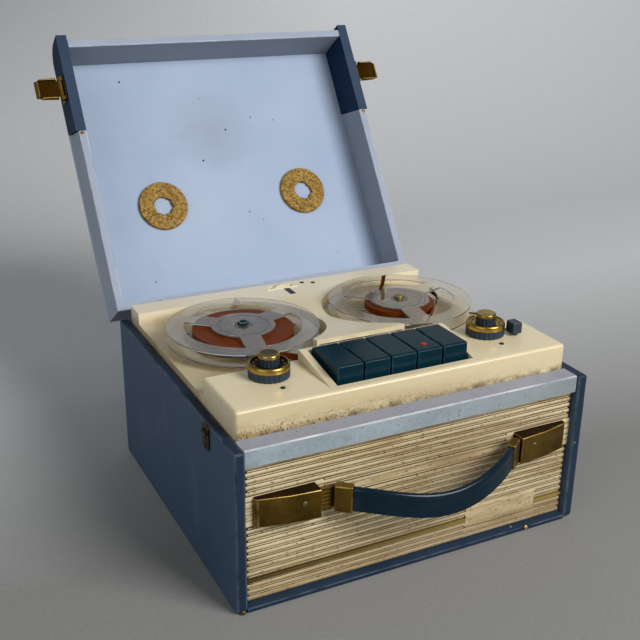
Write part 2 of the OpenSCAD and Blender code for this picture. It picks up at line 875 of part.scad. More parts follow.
module loudspeaker() {
    cone_d = 16;
    cone_r = 13;
    basket_d = speaker_d - 20;
    color("dimgray") translate([speaker_x, grille_back, speaker_z]) rotate([-90, 0, 0]) rotate_extrude()
        polygon([
            [0, cone_d], [cone_r, cone_d], [speaker_r - 8, 2], [speaker_r - 8, 0],
            [speaker_r, 0], [speaker_r, 3], [speaker_r - 6, 4], [cone_r + 2, basket_d],
            [magnet_r, basket_d], [magnet_r, speaker_d], [0, speaker_d]
        ]);
}

module control_pots() {
    color("silver") both_sides() difference() {
        union() {
            rod_z([knob_x, knob_y, pot_top - pot_h], pot_r, pot_h);
            rod_z([knob_x, knob_y, pot_top - 1], pot_neck_r, plat_z - deck_t - pot_top + 1);
        }
        rod_z([knob_x, knob_y, pot_top], ring_shaft_r + fit, plat_z - pot_top);
    }
}

module key_axle() {
    color("silver") {
        rod_x([-hood_x - axle_over, axle_y, axle_z], axle_r, 2 * (hood_x + axle_over));
        both_sides() difference() {
            box([hood_x + 1, axle_y - 5, chassis_top], [hood_x + 4, axle_y + 4.5, axle_z + 4]);
            rod_x([hood_x, axle_y, axle_z], axle_r + fit, 6);
        }
    }
}

module key_profile() {
    back_z = key_top - key_fall;
    polygon([
        [key_front, key_low], [key_back - 4, key_low], [key_back, key_low + 7],
        [key_back, back_z - 4], [key_back - 1.2, back_z - 1.2], [key_back - 4, back_z],
        [key_front + 2, key_top], [key_front + 0.6, key_top - 0.6], [key_front, key_top - 2]
    ]);
}

module key(i) {
    x = (i - (key_names - 1) / 2) * key_pitch;
    color("darkslategray") difference() {
        along_x(x - key_w / 2, key_w) key_profile();
        rod_x([x - key_w, axle_y, axle_z], axle_r + fit, 2 * key_w);
    }
}

module key_rewind() {
    key(0);
}

module key_stop() {
    key(1);
}

module key_play() {
    key(2);
}

module key_record() {
    key(3);
}

module key_forward() {
    key(4);
}

module outer_knob() {
    color("darkslategray") difference() {
        union() {
            rod_z([knob_x, knob_y, knob_z], ring_r, ring_h - 1.5);
            translate([knob_x, knob_y, knob_z + ring_h - 1.5])
                cylinder(r1 = ring_r, r2 = ring_r - 1, h = 1.5);
            rod_z([knob_x, knob_y, pot_top + 1], ring_shaft_r, knob_z - pot_top);
        }
        translate([knob_x, knob_y, knob_z + ring_h - ring_dish])
            cylinder(r1 = inner_r + 1, r2 = ring_r - 2.5, h = ring_dish + 0.01);
        rod_z([knob_x, knob_y, pot_top], knob_shaft_r + fit, 60);
    }
}

module inner_knob() {
    low = knob_z + ring_h - ring_dish + clear;
    color("goldenrod") {
        rod_z([knob_x, knob_y, low], inner_r, inner_h - 1);
        translate([knob_x, knob_y, low + inner_h - 1]) cylinder(r1 = inner_r, r2 = inner_r - 1, h = 1);
        rod_z([knob_x, knob_y, pot_top + 1], knob_shaft_r, low - pot_top);
    }
}

module left_outer_knob() {
    mirror([1, 0, 0]) outer_knob();
}

module left_inner_knob() {
    mirror([1, 0, 0]) inner_knob();
}

module right_outer_knob() {
    outer_knob();
}

module right_inner_knob() {
    inner_knob();
}

module selector_lever() {
    color("darkslategray") {
        box([selector_x - 5, selector_y - 6, plat_z + 2], [selector_x + 5, selector_y + 6, plat_z + 13]);
        box([selector_x - 1.5, selector_y - 3, plat_z - deck_t - 3],
            [selector_x + 1.5, selector_y + 3, plat_z + 3]);
        box([selector_x - 5, selector_y - 5, plat_z - deck_t - 3.5],
            [selector_x + 5, selector_y + 5, plat_z - deck_t - 0.5]);
    }
}

module counter_unit() {
    low = counter_z - 8;
    color("dimgray") difference() {
        union() {
            box([window_x - 9, window_low - 2, low], [window_x + 9, window_low + 23, counter_z]);
            box([window_x - 9, window_low - 2, low], [window_x + 9, window_low - 0.5, ridge_z - deck_t]);
            rod_y([window_x, window_low, counter_z], 5.2, 23);
        }
        rod_y([wheel_x, window_low + 18, counter_z - 3], 1.5 + fit, 20);
    }
}

module counter_wheel() {
    color("ivory") {
        rod_y([wheel_x, wheel_y - 2.5, counter_z - 3], wheel_r + 3, 5);
        rod_y([wheel_x, window_low + 19, counter_z - 3], 1.5, wheel_y - window_low - 19);
    }
}

module mains_inlet() {
    low = [inlet_x - inlet_w / 2 + 0.2, back_y - back_t - 10, inlet_z - inlet_h / 2 + 0.2];
    high = [inlet_x + inlet_w / 2 - 0.2, back_y - 0.5, inlet_z + inlet_h / 2 - 0.2];
    color("black") {
        difference() {
            box(low, high);
            box([low[0] + 3, back_y - 14, low[2] + 3], [high[0] - 3, back_y + 1, high[2] - 3]);
        }
        for (x = [-7, 7]) rod_y([inlet_x + x, back_y - 15, inlet_z], 2, 12);
    }
}

// One hinge leaf below the axis: a plate, and the knuckles that a list of spans names
module hinge_leaf(spans) {
    box([hinge_x - hinge_l / 2, back_y, split_z - leaf_h],
        [hinge_x + hinge_l / 2, back_y + leaf_t, split_z - 2]);
    for (s = spans) difference() {
        union() {
            rod_x([hinge_x + s[0], hinge_y, hinge_z], knuckle_r, s[1] - s[0]);
            box([hinge_x + s[0], back_y, hinge_z - knuckle_r - 2],
                [hinge_x + s[1], hinge_y, hinge_z - knuckle_r + 1]);
        }
        rod_x([hinge_x + s[0] - 1, hinge_y, hinge_z], pin_r + fit, s[1] - s[0] + 2);
    }
}

case_spans = [[-hinge_l / 2, -hinge_l / 6 - 0.2], [hinge_l / 6 + 0.2, hinge_l / 2]];
lid_spans = [[-hinge_l / 6 + 0.2, hinge_l / 6 - 0.2]];

module hinge_case_leaves() {
    color("darkgoldenrod") both_sides() hinge_leaf(case_spans);
}

module hinge_pins() {
    color("goldenrod") both_sides() rod_x([hinge_x - hinge_l / 2, hinge_y, hinge_z], pin_r, hinge_l);
}

module hinge_lid_leaves() {
    color("darkgoldenrod") opened() both_sides()
        translate([0, 0, hinge_z]) mirror([0, 0, 1]) translate([0, 0, -hinge_z]) hinge_leaf(lid_spans);
}

// A cheek's side view from a front edge, with a slanted lower end
lid_skin = 3;
module cheek_outline(front, depth, over, play) {
    back = lid_front + cheek_l - play;
    slope = cheek_cut / cheek_deep;
    polygon([
        [front, lid_z - over], [back + slope * over, lid_z - over],
        [back - slope * depth, lid_z + depth], [front, lid_z + depth]
    ]);
}

module lid_frame() {
    color("lightsteelblue") opened() difference() {
        box([-lid_x, lid_front, lid_z], [lid_x, back_y, lid_floor]);
        box([-lid_x + lid_wall, lid_front + lid_wall, lid_z - 1],
            [lid_x - lid_wall, back_y - lid_wall, lid_floor + 1]);
        both_sides() {
            along_x(lid_x - lid_wall, lid_wall - lid_skin)
                cheek_outline(lid_front + lid_wall, lid_depth + 1, 1, 0);
            along_x(lid_x - lid_wall, lid_wall + 1) cheek_outline(lid_front - 1, cheek_deep, 1, 0);
        }
    }
}

module lid_panel() {
    color("lightsteelblue") opened() box([-lid_x, lid_front, lid_floor], [lid_x, back_y, lid_top]);
}

// A cheek's outer layer, with a round front corner
module cheek_plate() {
    front = lid_front - cheek_over;
    corner_z = lid_z + cheek_deep - cheek_nose;
    difference() {
        cheek_outline(front, cheek_deep, 0, fit);
        translate([front, corner_z]) polygon(concat(
            [for (a = [0 : 15 : 90]) cheek_nose * [1 - cos(a), sin(a)]],
            [[cheek_nose, cheek_nose + 1], [-1, cheek_nose + 1], [-1, 0]]
        ));
    }
}

// The middle layer fills the wall's gap and laps over the lid's front
module cheek_block() {
    cheek_outline(lid_front, cheek_deep, 0, fit);
    intersection() {
        cheek_plate();
        translate([lid_front - cheek_over, lid_z]) square([cheek_over, cheek_deep]);
    }
}

module lid_cheeks() {
    color("darkslateblue") opened() both_sides() {
        along_x(lid_x, cheek_proud) cheek_plate();
        along_x(lid_x - lid_wall, lid_wall) cheek_block();
        along_x(lid_x - lid_wall, lid_wall - lid_skin)
            cheek_outline(lid_front + lid_wall, lid_depth, 0, cheek_step);
    }
}

// A latch base: a plate with two end knuckles and the pin between them
module latch_base() {
    box([cheek_x, latch_y - latch_w / 2, latch_z - 5], [cheek_x + 1.2, latch_y + latch_w / 2, latch_z + 16]);
    for (y = [latch_y - latch_w / 2, latch_y + latch_w / 2 - 4]) {
        rod_y([latch_x, y, latch_z], latch_knuckle_r, 4);
        box([cheek_x, y, latch_z - latch_knuckle_r], [latch_x, y + 4, latch_z + latch_knuckle_r]);
    }
    rod_y([latch_x, latch_y - latch_w / 2 + 1, latch_z], latch_pin_r, latch_w - 2);
}

module latch_bases() {
    color("darkgoldenrod") opened() both_sides() latch_base();
}

// A latch lever standing straight out from its knuckle
module latch_lever() {
    root = latch_w / 2 - 4.4;
    difference() {
        union() {
            rod_y([latch_x, latch_y - root, latch_z], latch_knuckle_r, 2 * root);
            translate([latch_x, latch_y, latch_z - 0.8]) linear_extrude(1.6) polygon([
                [1, -root], [3.6, -root], [5, -latch_w / 2 + 0.5], [latch_l - 4, -latch_w / 2 + 1.5],
                [latch_l, -latch_w / 2 + 4], [latch_l, latch_w / 2 - 4], [latch_l - 4, latch_w / 2 - 1.5],
                [5, latch_w / 2 - 0.5], [3.6, root], [1, root]
            ]);
            rod_y([latch_x + latch_l - 0.6, latch_y - latch_w / 2 + 4, latch_z + 1.1], 2.3, latch_w - 8);
        }
        rod_y([latch_x, latch_y - latch_w, latch_z], latch_pin_r + fit, 2 * latch_w);
    }
}

module latch_lever_left() {
    color("darkgoldenrod") opened() mirror([1, 0, 0]) latch_lever();
}

module latch_lever_right() {
    color("darkgoldenrod") opened() latch_lever();
}

module reel_pads() {
    color("sienna") opened() both_sides() difference() {
        rod_z([reel_x, reel_y, lid_floor - pad_t], pad_r, pad_t);
        rod_z([reel_x, reel_y, lid_floor - pad_t - 1], pad_hole, pad_t + 2);
    }
}

spoke_w = 20;
window_in = 31;
window_out = 57;

module flange_outline() {
    difference() {
        circle(reel_r);
        circle(spindle_r + fit);
        difference() {
            circle(window_out);
            circle(window_in);
            for (a = [20, 140, 260]) rotate(a) translate([0, -spoke_w / 2]) square([reel_r, spoke_w]);
        }
    }
}

module reel(side) {
    color("gainsboro") translate([side * reel_x, reel_y, reel_z]) {
        linear_extrude(flange_t) flange_outline();
        translate([0, 0, reel_h - flange_t]) linear_extrude(flange_t) flange_outline();
        linear_extrude(reel_h) difference() {
            circle(hub_r);
            circle(hub_r - 2.5);
        }
        linear_extrude(reel_h) difference() {
            circle(9);
            circle(spindle_r + fit);
        }
    }
}

module reel_left() {
    reel(-1);
}

module reel_right() {
    reel(1);
}

module tape_pack(side, r) {
    color("saddlebrown") translate([side * reel_x, reel_y, tape_z - tape_w / 2]) linear_extrude(tape_w)
        difference() {
            circle(r);
            circle(hub_r + 0.05);
        }
}

module tape_pack_left() {
    tape_pack(-1, pack_left_r);
}

module tape_pack_right() {
    tape_pack(1, pack_right_r);
}

module reel_table(side) {
    color("silver") translate([side * reel_x, reel_y, 0]) {
        rod_z([0, 0, floor_z + 1], table_r, reel_up - 1);
        rod_z([0, 0, chassis_top - 6], shaft_r, floor_z + 2 - chassis_top + 6);
        rod_z([0, 0, reel_z - 1], spindle_r, reel_h + 4);
    }
}

module reel_table_left() {
    reel_table(-1);
}

module reel_table_right() {
    reel_table(1);
}

case_bottom();
case_side_left();
case_side_right();
case_back();
front_rail();
front_grille();
grille_trim();
handle_brackets();
latch_keepers();
deck_cover();
head_cover();
deck_rails();
chassis_plate();
shaft_bearings();
motor();
motor_pulley();
drive_belt();
capstan_flywheel();
pinch_arm();
pinch_roller();
tape_heads();
tape_guides();
tape_run();
transformer();
amplifier_chassis();
valves();
loudspeaker();
control_pots();
key_axle();
counter_unit();
counter_wheel();
mains_inlet();
hinge_case_leaves();
hinge_lid_leaves();
hinge_pins();
lid_frame();
lid_panel();
lid_cheeks();
latch_bases();
latch_lever_left();
latch_lever_right();
reel_pads();
handle_ends();
handle_grip();
key_rewind();
key_stop();
key_play();
key_record();
key_forward();
left_outer_knob();
left_inner_knob();
right_outer_knob();
right_inner_knob();
selector_lever();
reel_left();
reel_right();
tape_pack_left();
tape_pack_right();
reel_table_left();
reel_table_right();
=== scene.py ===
import bpy, bmesh, random
from math import atan2, cos, pi, radians, sin
from mathutils import Matrix, Vector, noise


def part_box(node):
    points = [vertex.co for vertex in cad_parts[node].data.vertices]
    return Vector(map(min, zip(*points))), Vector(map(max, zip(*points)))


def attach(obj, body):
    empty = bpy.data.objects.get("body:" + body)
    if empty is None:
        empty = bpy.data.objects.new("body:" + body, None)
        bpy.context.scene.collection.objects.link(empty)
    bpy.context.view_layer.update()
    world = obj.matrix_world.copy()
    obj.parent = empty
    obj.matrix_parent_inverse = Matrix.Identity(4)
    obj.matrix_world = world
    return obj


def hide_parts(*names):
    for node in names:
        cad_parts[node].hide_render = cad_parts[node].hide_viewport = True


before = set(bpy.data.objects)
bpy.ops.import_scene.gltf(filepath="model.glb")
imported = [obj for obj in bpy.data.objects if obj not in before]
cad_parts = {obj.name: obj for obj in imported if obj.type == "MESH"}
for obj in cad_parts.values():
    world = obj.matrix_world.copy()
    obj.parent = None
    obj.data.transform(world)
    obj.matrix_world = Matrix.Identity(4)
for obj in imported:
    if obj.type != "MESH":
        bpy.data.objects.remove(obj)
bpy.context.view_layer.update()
scene = bpy.context.scene
scene.view_settings.view_transform = "Standard"
print("frame loaded:", len(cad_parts), "nodes")

# All shapes are worked out in millimetres and scaled to metres when they become objects
perMetre = 1000
toMetres = 1 / perMetre


# camera

photoCamera = {
    "place": (-0.42465, -0.79385, 0.53647),
    "azimuth": -26.87,
    "elevation": 21.67,
    "roll": 0.73,
    "lens": 56.40,
    "sensor": 36.0,
    "nearest": 0.05,
}


def makeCamera():
    az, el, roll = (radians(photoCamera[k]) for k in ("azimuth", "elevation", "roll"))
    back = Vector((sin(az) * cos(el), -cos(az) * cos(el), sin(el)))
    right = (-back).cross(Vector((0, 0, 1))).normalized()
    up = right.cross(-back)
    sideways = cos(roll) * right + sin(roll) * up
    upwards = -sin(roll) * right + cos(roll) * up
    camera = bpy.data.objects.new("photoCamera", bpy.data.cameras.new("photoCamera"))
    camera.data.lens = photoCamera["lens"]
    camera.data.sensor_width = photoCamera["sensor"]
    camera.data.clip_start = photoCamera["nearest"]
    turn = Matrix((sideways, upwards, back)).transposed()
    camera.matrix_world = Matrix.Translation(photoCamera["place"]) @ turn.to_4x4()
    scene.collection.objects.link(camera)
    scene.camera = camera


makeCamera()
print("camera placed")


# shader helpers

def feed(tree, node, inputs):  # links what is a socket, sets what is a value
    for key, value in inputs.items():
        if isinstance(value, bpy.types.NodeSocket):
            tree.links.new(value, node.inputs[key])
        else:
            node.inputs[key].default_value = value


def addNode(tree, kind, inputs=None, **settings):
    made = tree.nodes.new("ShaderNode" + kind)
    for key, value in settings.items():
        setattr(made, key, value)
    feed(tree, made, inputs or {})
    return made


def mathOf(tree, operation, a, b=0.0, clamp=False):
    return addNode(tree, "Math", {0: a, 1: b}, operation=operation, use_clamp=clamp).outputs[0]


def times(tree, a, b, clamp=False):
    return mathOf(tree, "MULTIPLY", a, b, clamp)


def vectorOf(tree, operation, a, b):
    return addNode(tree, "VectorMath", {0: a, 1: b}, operation=operation).outputs["Value"]


def axesOf(tree, vector):
    return addNode(tree, "SeparateXYZ", {0: vector}).outputs


def mixColour(tree, factor, a, b, blend="MIX"):
    made = addNode(tree, "Mix", {0: factor, 6: a, 7: b}, data_type="RGBA", blend_type=blend)
    return made.outputs[2]


def overlay(tree, base, mask, colour, share=1.0):  # one colour laid over another through a mask
    return mixColour(tree, times(tree, mask, share) if share < 1 else mask, base, colour)


def remap(tree, value, low, high, start=0.0, end=1.0):
    inputs = {"Value": value, "From Min": low, "From Max": high, "To Min": start, "To Max": end}
    return addNode(tree, "MapRange", inputs).outputs["Result"]


def noiseOf(tree, vector, scale, detail=4.0, roughness=0.55):
    inputs = {"Vector": vector, "Scale": scale, "Detail": detail, "Roughness": roughness}
    return addNode(tree, "TexNoise", inputs).outputs[0]


def stretched(tree, vector, scale):
    return addNode(tree, "Mapping", {"Vector": vector, "Scale": scale}).outputs[0]


def startGroup(name, ins, outs):
    tree = bpy.data.node_groups.new(name, "ShaderNodeTree")
    for label, kind in ins:
        tree.interface.new_socket(name=label, in_out="INPUT", socket_type="NodeSocket" + kind)
    for label, kind in outs:
        tree.interface.new_socket(name=label, in_out="OUTPUT", socket_type="NodeSocket" + kind)
    return tree, tree.nodes.new("NodeGroupInput").outputs, tree.nodes.new("NodeGroupOutput").inputs


def makeEdgeWear():  # rubbed edges: the bevels' own mask, broken up by noise
    tree, into, out = startGroup("edgeWear", [("Vector", "Vector"), ("Scale", "Float"), ("Amount", "Float")],
                                 [("Mask", "Float")])
    edge = addNode(tree, "Attribute", attribute_name="edgeMask").outputs["Fac"]
    patchy = remap(tree, noiseOf(tree, into["Vector"], into["Scale"], 5.0, 0.65), 0.35, 0.68)
    both = times(tree, edge, patchy)
    tree.links.new(times(tree, both, into["Amount"], True), out["Mask"])
    return tree


def makeStains():  # soft patches with a ragged border
    tree, into, out = startGroup("stains", [("Vector", "Vector"), ("Scale", "Float"), ("Least", "Float"),
                                            ("Most", "Float")], [("Mask", "Float")])
    broad = noiseOf(tree, into["Vector"], into["Scale"], 6.0, 0.62)
    mask = addNode(tree, "MapRange", {"Value": broad, "From Min": into["Least"], "From Max": into["Most"]})
    mask.interpolation_type = "SMOOTHSTEP"
    tree.links.new(mask.outputs["Result"], out["Mask"])
    return tree


def makeSpecks():  # small separate dots, each cell having one or none
    tree, into, out = startGroup("specks", [("Vector", "Vector"), ("Scale", "Float"), ("Size", "Float"),
                                            ("Share", "Float")], [("Mask", "Float")])
    cell = addNode(tree, "TexVoronoi", {"Vector": into["Vector"], "Scale": into["Scale"]})
    near = mathOf(tree, "LESS_THAN", cell.outputs["Distance"], into["Size"])
    pick = addNode(tree, "SeparateColor", {0: cell.outputs["Color"]}).outputs[0]
    kept = mathOf(tree, "LESS_THAN", pick, into["Share"])
    tree.links.new(times(tree, near, kept), out["Mask"])
    return tree


def makeLeatherGrain():  # pebbled skin of a coated cloth
    tree, into, out = startGroup("leatherGrain", [("Vector", "Vector"), ("Scale", "Float")], [("Height", "Float")])
    cells = addNode(tree, "TexVoronoi", {"Vector": into["Vector"], "Scale": into["Scale"]}, feature="F1")
    fine = noiseOf(tree, into["Vector"], times(tree, into["Scale"], 2.3), 3.0)
    total = mathOf(tree, "ADD", cells.outputs["Distance"], times(tree, fine, 0.6))
    tree.links.new(total, out["Height"])
    return tree


def makeFineWeave():  # crossed threads of a book cloth
    tree, into, out = startGroup("fineWeave", [("Vector", "Vector"), ("Scale", "Float")], [("Height", "Float")])
    waves = []
    for direction in ("X", "Z"):
        inputs = {"Vector": into["Vector"], "Scale": into["Scale"], "Distortion": 0.8, "Detail": 1.0}
        waves.append(addNode(tree, "TexWave", inputs, bands_direction=direction).outputs["Fac"])
    tree.links.new(mathOf(tree, "MAXIMUM", waves[0], waves[1]), out["Height"])
    return tree


edgeWear, stains, specks = makeEdgeWear(), makeStains(), makeSpecks()
leatherGrain, fineWeave = makeLeatherGrain(), makeFineWeave()


def useGroup(tree, group, inputs):
    made = tree.nodes.new("ShaderNodeGroup")
    made.node_tree = group
    feed(tree, made, inputs)
    return made.outputs[0]


def stainMask(tree, vector, scale, least, most):
    return useGroup(tree, stains, {"Vector": vector, "Scale": scale, "Least": least, "Most": most})


def speckMask(tree, vector, scale, size, share):
    return useGroup(tree, specks, {"Vector": vector, "Scale": scale, "Size": size, "Share": share})


def wearMask(tree, vector, scale, amount):
    return useGroup(tree, edgeWear, {"Vector": vector, "Scale": scale, "Amount": amount})


def startMaterial(name, **sockets):
    material = bpy.data.materials.new(name)
    material.use_nodes = True
    tree = material.node_tree
    shader = tree.nodes["Principled BSDF"]
    for key, value in sockets.items():
        shader.inputs[key.replace("_", " ")].default_value = value
    place = addNode(tree, "TexCoord").outputs["Object"]
    return material, tree, shader, place


def colourInto(tree, shader, socket):
    tree.links.new(socket, shader.inputs["Base Color"])


def roughnessInto(tree, shader, value, low, high):
    tree.links.new(remap(tree, value, 0.0, 1.0, low, high), shader.inputs["Roughness"])


def bumpInto(tree, shader, height, strength, distance):
    inputs = {"Height": height, "Strength": strength, "Distance": distance}
    tree.links.new(addNode(tree, "Bump", inputs).outputs[0], shader.inputs["Normal"])


# materials

def makeCaseCloth(name, deep, faded, rub, rubShare, shine):
    material, tree, shader, place = startMaterial(name, Specular_IOR_Level=shine)
    broad = noiseOf(tree, place, 7.0, 6.0, 0.6)
    base = mixColour(tree, remap(tree, broad, 0.3, 0.7), deep, faded)
    rubbed = stainMask(tree, stretched(tree, place, (1, 1, 0.45)), 11.0, 0.54, 0.76)
    base = overlay(tree, base, rubbed, rub, rubShare)
    brown = stainMask(tree, stretched(tree, place, (1, 0.6, 1.6)), 16.0, 0.64, 0.76)
    base = overlay(tree, base, brown, (0.085, 0.068, 0.045, 1), 0.5)
    scuffs = stainMask(tree, stretched(tree, place, (1, 0.25, 3.2)), 70.0, 0.66, 0.74)
    base = overlay(tree, base, scuffs, rub, 0.35)
    dots = speckMask(tree, place, 95.0, 0.13, 0.05)
    base = overlay(tree, base, dots, (0.20, 0.21, 0.22, 1), 0.5)
    worn = wearMask(tree, place, 60.0, 0.55)
    base = overlay(tree, base, worn, (0.16, 0.19, 0.23, 1))
    colourInto(tree, shader, base)
    roughnessInto(tree, shader, broad, 0.42, 0.60)
    grain = useGroup(tree, leatherGrain, {"Vector": place, "Scale": 900.0})
    bumpInto(tree, shader, grain, 0.30, 0.0006)
    return material


lidSoot = {"centre": (-0.010, 0.3173, 0.3075), "reach": (0.085, 0.030), "inward": (0, -0.834, 0.552),
           "innerFace": (-0.0975, -0.0960)}  # metres, on the open lid


def makeLidCloth(name, deep, pale, grimeShare):
    material, tree, shader, place = startMaterial(name, Specular_IOR_Level=0.3)
    broad = noiseOf(tree, place, 6.0, 6.0, 0.6)
    base = mixColour(tree, remap(tree, broad, 0.3, 0.7), deep, pale)
    away = vectorOf(tree, "DISTANCE", place, lidSoot["centre"])
    soot = remap(tree, mathOf(tree, "ADD", away, times(tree, broad, 0.05)), *lidSoot["reach"], 0.0, 0.22)
    depth = vectorOf(tree, "DOT_PRODUCT", place, lidSoot["inward"])
    soot = times(tree, soot, remap(tree, depth, *lidSoot["innerFace"]))  # on the inner face alone
    base = overlay(tree, base, soot, (0.22, 0.17, 0.17, 1))
    dots = speckMask(tree, place, 70.0, 0.11, 0.10)
    base = overlay(tree, base, dots, (0.16, 0.15, 0.16, 1), 0.6)
    grime = stainMask(tree, place, 24.0, 0.60, 0.85)
    base = overlay(tree, base, grime, (0.24, 0.26, 0.30, 1), grimeShare)
    worn = wearMask(tree, place, 45.0, 0.8)
    base = overlay(tree, base, worn, (0.66, 0.68, 0.70, 1))
    colourInto(tree, shader, base)
    roughnessInto(tree, shader, broad, 0.62, 0.78)
    bumpInto(tree, shader, useGroup(tree, fineWeave, {"Vector": place, "Scale": 420.0}), 0.16, 0.0004)
    return material


def makeRailCloth():
    material, tree, shader, place = startMaterial("railCloth", Specular_IOR_Level=0.25)
    axes = axesOf(tree, place)
    broad = noiseOf(tree, stretched(tree, place, (1, 1, 2.5)), 18.0, 7.0, 0.65)
    thread = noiseOf(tree, stretched(tree, place, (1, 1, 0.25)), 520.0, 3.0, 0.7)
    patchy = remap(tree, mathOf(tree, "ADD", broad, times(tree, thread, 0.6)), 0.55, 1.05)
    front = mixColour(tree, patchy, (0.225, 0.280, 0.308, 1), (0.375, 0.440, 0.470, 1))
    # the top face has its own lavender tint and is painted darker, as shade
    topTintAndShade = mixColour(tree, patchy, (0.265, 0.275, 0.325, 1), (0.345, 0.355, 0.405, 1))
    front = mixColour(tree, remap(tree, axes[0], -0.05, 0.16, 0.0, 0.45), front, (0.225, 0.232, 0.205, 1))
    base = mixColour(tree, remap(tree, axes[2], 0.1506, 0.1513), front, topTintAndShade)
    dots = speckMask(tree, place, 280.0, 0.22, 0.12)
    base = overlay(tree, base, dots, (0.09, 0.09, 0.085, 1), 0.7)
    grime = stainMask(tree, stretched(tree, place, (0.5, 1, 1)), 70.0, 0.56, 0.78)
    base = overlay(tree, base, grime, (0.17, 0.185, 0.19, 1), 0.45)
    worn = wearMask(tree, stretched(tree, place, (0.3, 1, 1)), 80.0, 1.0)
    base = overlay(tree, base, worn, (0.66, 0.67, 0.64, 1))
    colourInto(tree, shader, base)
    roughnessInto(tree, shader, broad, 0.48, 0.66)
    bumpInto(tree, shader, useGroup(tree, leatherGrain, {"Vector": place, "Scale": 1000.0}), 0.22, 0.0005)
    return material


def makeDeckIvory():
    material, tree, shader, place = startMaterial("deckIvory", Specular_IOR_Level=0.45, Coat_Weight=0.12,
                                                  Coat_Roughness=0.14)
    broad = noiseOf(tree, place, 5.0, 5.0, 0.6)
    base = mixColour(tree, remap(tree, broad, 0.3, 0.7), (0.740, 0.622, 0.385, 1), (0.805, 0.697, 0.468, 1))
    axes = axesOf(tree, place)
    # painted light: the back of the deck, beside the lid, is painted paler
    paintedLightBehind = remap(tree, axes[1], 0.085, 0.115, 0.0, 0.5)
    base = overlay(tree, base, paintedLightBehind, (0.900, 0.820, 0.640, 1))
    # the front face is darker all over, more so towards the left; dirt gathers where it meets the rail
    front = remap(tree, axes[1], -0.1315, -0.1335)
    dulled = times(tree, front, remap(tree, axes[0], 0.15, -0.15, 0.20, 0.55))
    base = overlay(tree, base, dulled, (0.560, 0.450, 0.245, 1))
    low = times(tree, remap(tree, axes[2], 0.170, 0.155), front)
    leftwards = remap(tree, axes[0], 0.12, -0.14, 0.35, 1.0)
    smear = stainMask(tree, stretched(tree, place, (0.45, 1, 2.0)), 34.0, 0.34, 0.60)
    smear = times(tree, times(tree, smear, low), leftwards)
    base = overlay(tree, base, smear, (0.36, 0.235, 0.085, 1), 0.85)
    seam = times(tree, remap(tree, axes[2], 0.1575, 0.1535), front)
    seam = times(tree, seam, remap(tree, noiseOf(tree, place, 70.0, 6.0, 0.7), 0.35, 0.60))
    base = overlay(tree, base, seam, (0.17, 0.105, 0.040, 1), 0.85)
    dots = stainMask(tree, place, 520.0, 0.53, 0.62)
    crumbs = speckMask(tree, place, 170.0, 0.16, 0.10)
    near = remap(tree, axes[2], 0.164, 0.154)
    dots = times(tree, times(tree, mathOf(tree, "MAXIMUM", dots, crumbs), front), near)
    base = overlay(tree, base, times(tree, dots, leftwards), (0.05, 0.030, 0.012, 1))
    # painted shade with some dirt, down in the wells beneath the reels
    well = times(tree, remap(tree, axes[2], 0.166, 0.158), remap(tree, axes[1], -0.060, -0.050))
    patches = stainMask(tree, place, 17.0, 0.38, 0.72)
    wellShadeAndDirt = times(tree, well, remap(tree, patches, 0.0, 1.0, 0.45, 1.0))
    base = overlay(tree, base, wellShadeAndDirt, (0.36, 0.265, 0.13, 1), 0.8)
    worn = wearMask(tree, place, 55.0, 0.22)
    base = overlay(tree, base, worn, (0.56, 0.43, 0.23, 1))
    colourInto(tree, shader, base)
    roughnessInto(tree, shader, noiseOf(tree, place, 40.0, 3.0), 0.22, 0.38)
    bumpInto(tree, shader, noiseOf(tree, place, 350.0, 3.0), 0.05, 0.0004)
    return material


def makeMetal(name, bright, dark, edge, rough, scale=30.0, brush=(1, 1, 1)):
    material, tree, shader, place = startMaterial(name, Metallic=1.0)
    tarnish = noiseOf(tree, place, scale, 6.0, 0.62)
    base = mixColour(tree, remap(tree, tarnish, 0.32, 0.66), bright, dark)
    worn = wearMask(tree, place, 120.0, 0.8)
    base = overlay(tree, base, worn, edge)
    colourInto(tree, shader, base)
    hair = noiseOf(tree, stretched(tree, place, brush), 260.0, 3.0)
    roughnessInto(tree, shader, tarnish, rough[0], rough[1])
    bumpInto(tree, shader, hair, 0.08, 0.0003)
    return material


def makeTrimGold():  # a gilt strip, tarnished towards its left end
    material, tree, shader, place = startMaterial("trimGold", Metallic=0.55)
    axes = axesOf(tree, place)
    tarnish = noiseOf(tree, stretched(tree, place, (0.3, 1, 1)), 45.0, 6.0, 0.62)
    bright = remap(tree, mathOf(tree, "ADD", axes[0], times(tree, tarnish, 0.16)), -0.10, 0.20)
    base = mixColour(tree, bright, (0.075, 0.045, 0.010, 1), (0.470, 0.330, 0.080, 1))
    worn = wearMask(tree, place, 120.0, 0.5)
    colourInto(tree, shader, overlay(tree, base, worn, (0.55, 0.43, 0.16, 1)))
    roughnessInto(tree, shader, tarnish, 0.28, 0.50)
    bumpInto(tree, shader, noiseOf(tree, stretched(tree, place, (0.1, 1, 1)), 260.0, 3.0), 0.08, 0.0003)
    return material


def makePlastic(name, base1, base2, edge, rough, wear=0.3, grain=420.0, bump=0.05, dust=None, shine=0.3):
    material, tree, shader, place = startMaterial(name, Specular_IOR_Level=shine)
    broad = noiseOf(tree, place, 22.0, 5.0, 0.6)
    base = mixColour(tree, remap(tree, broad, 0.3, 0.7), base1, base2)
    if dust:
        lint = speckMask(tree, place, 300.0, 0.14, 0.07)
        base = overlay(tree, base, lint, dust, 0.4)
    worn = wearMask(tree, place, 90.0, wear)
    base = overlay(tree, base, worn, edge)
    colourInto(tree, shader, base)
    roughnessInto(tree, shader, noiseOf(tree, place, 70.0, 4.0), rough[0], rough[1])
    bumpInto(tree, shader, noiseOf(tree, place, grain, 2.0), bump, 0.0004)
    return material


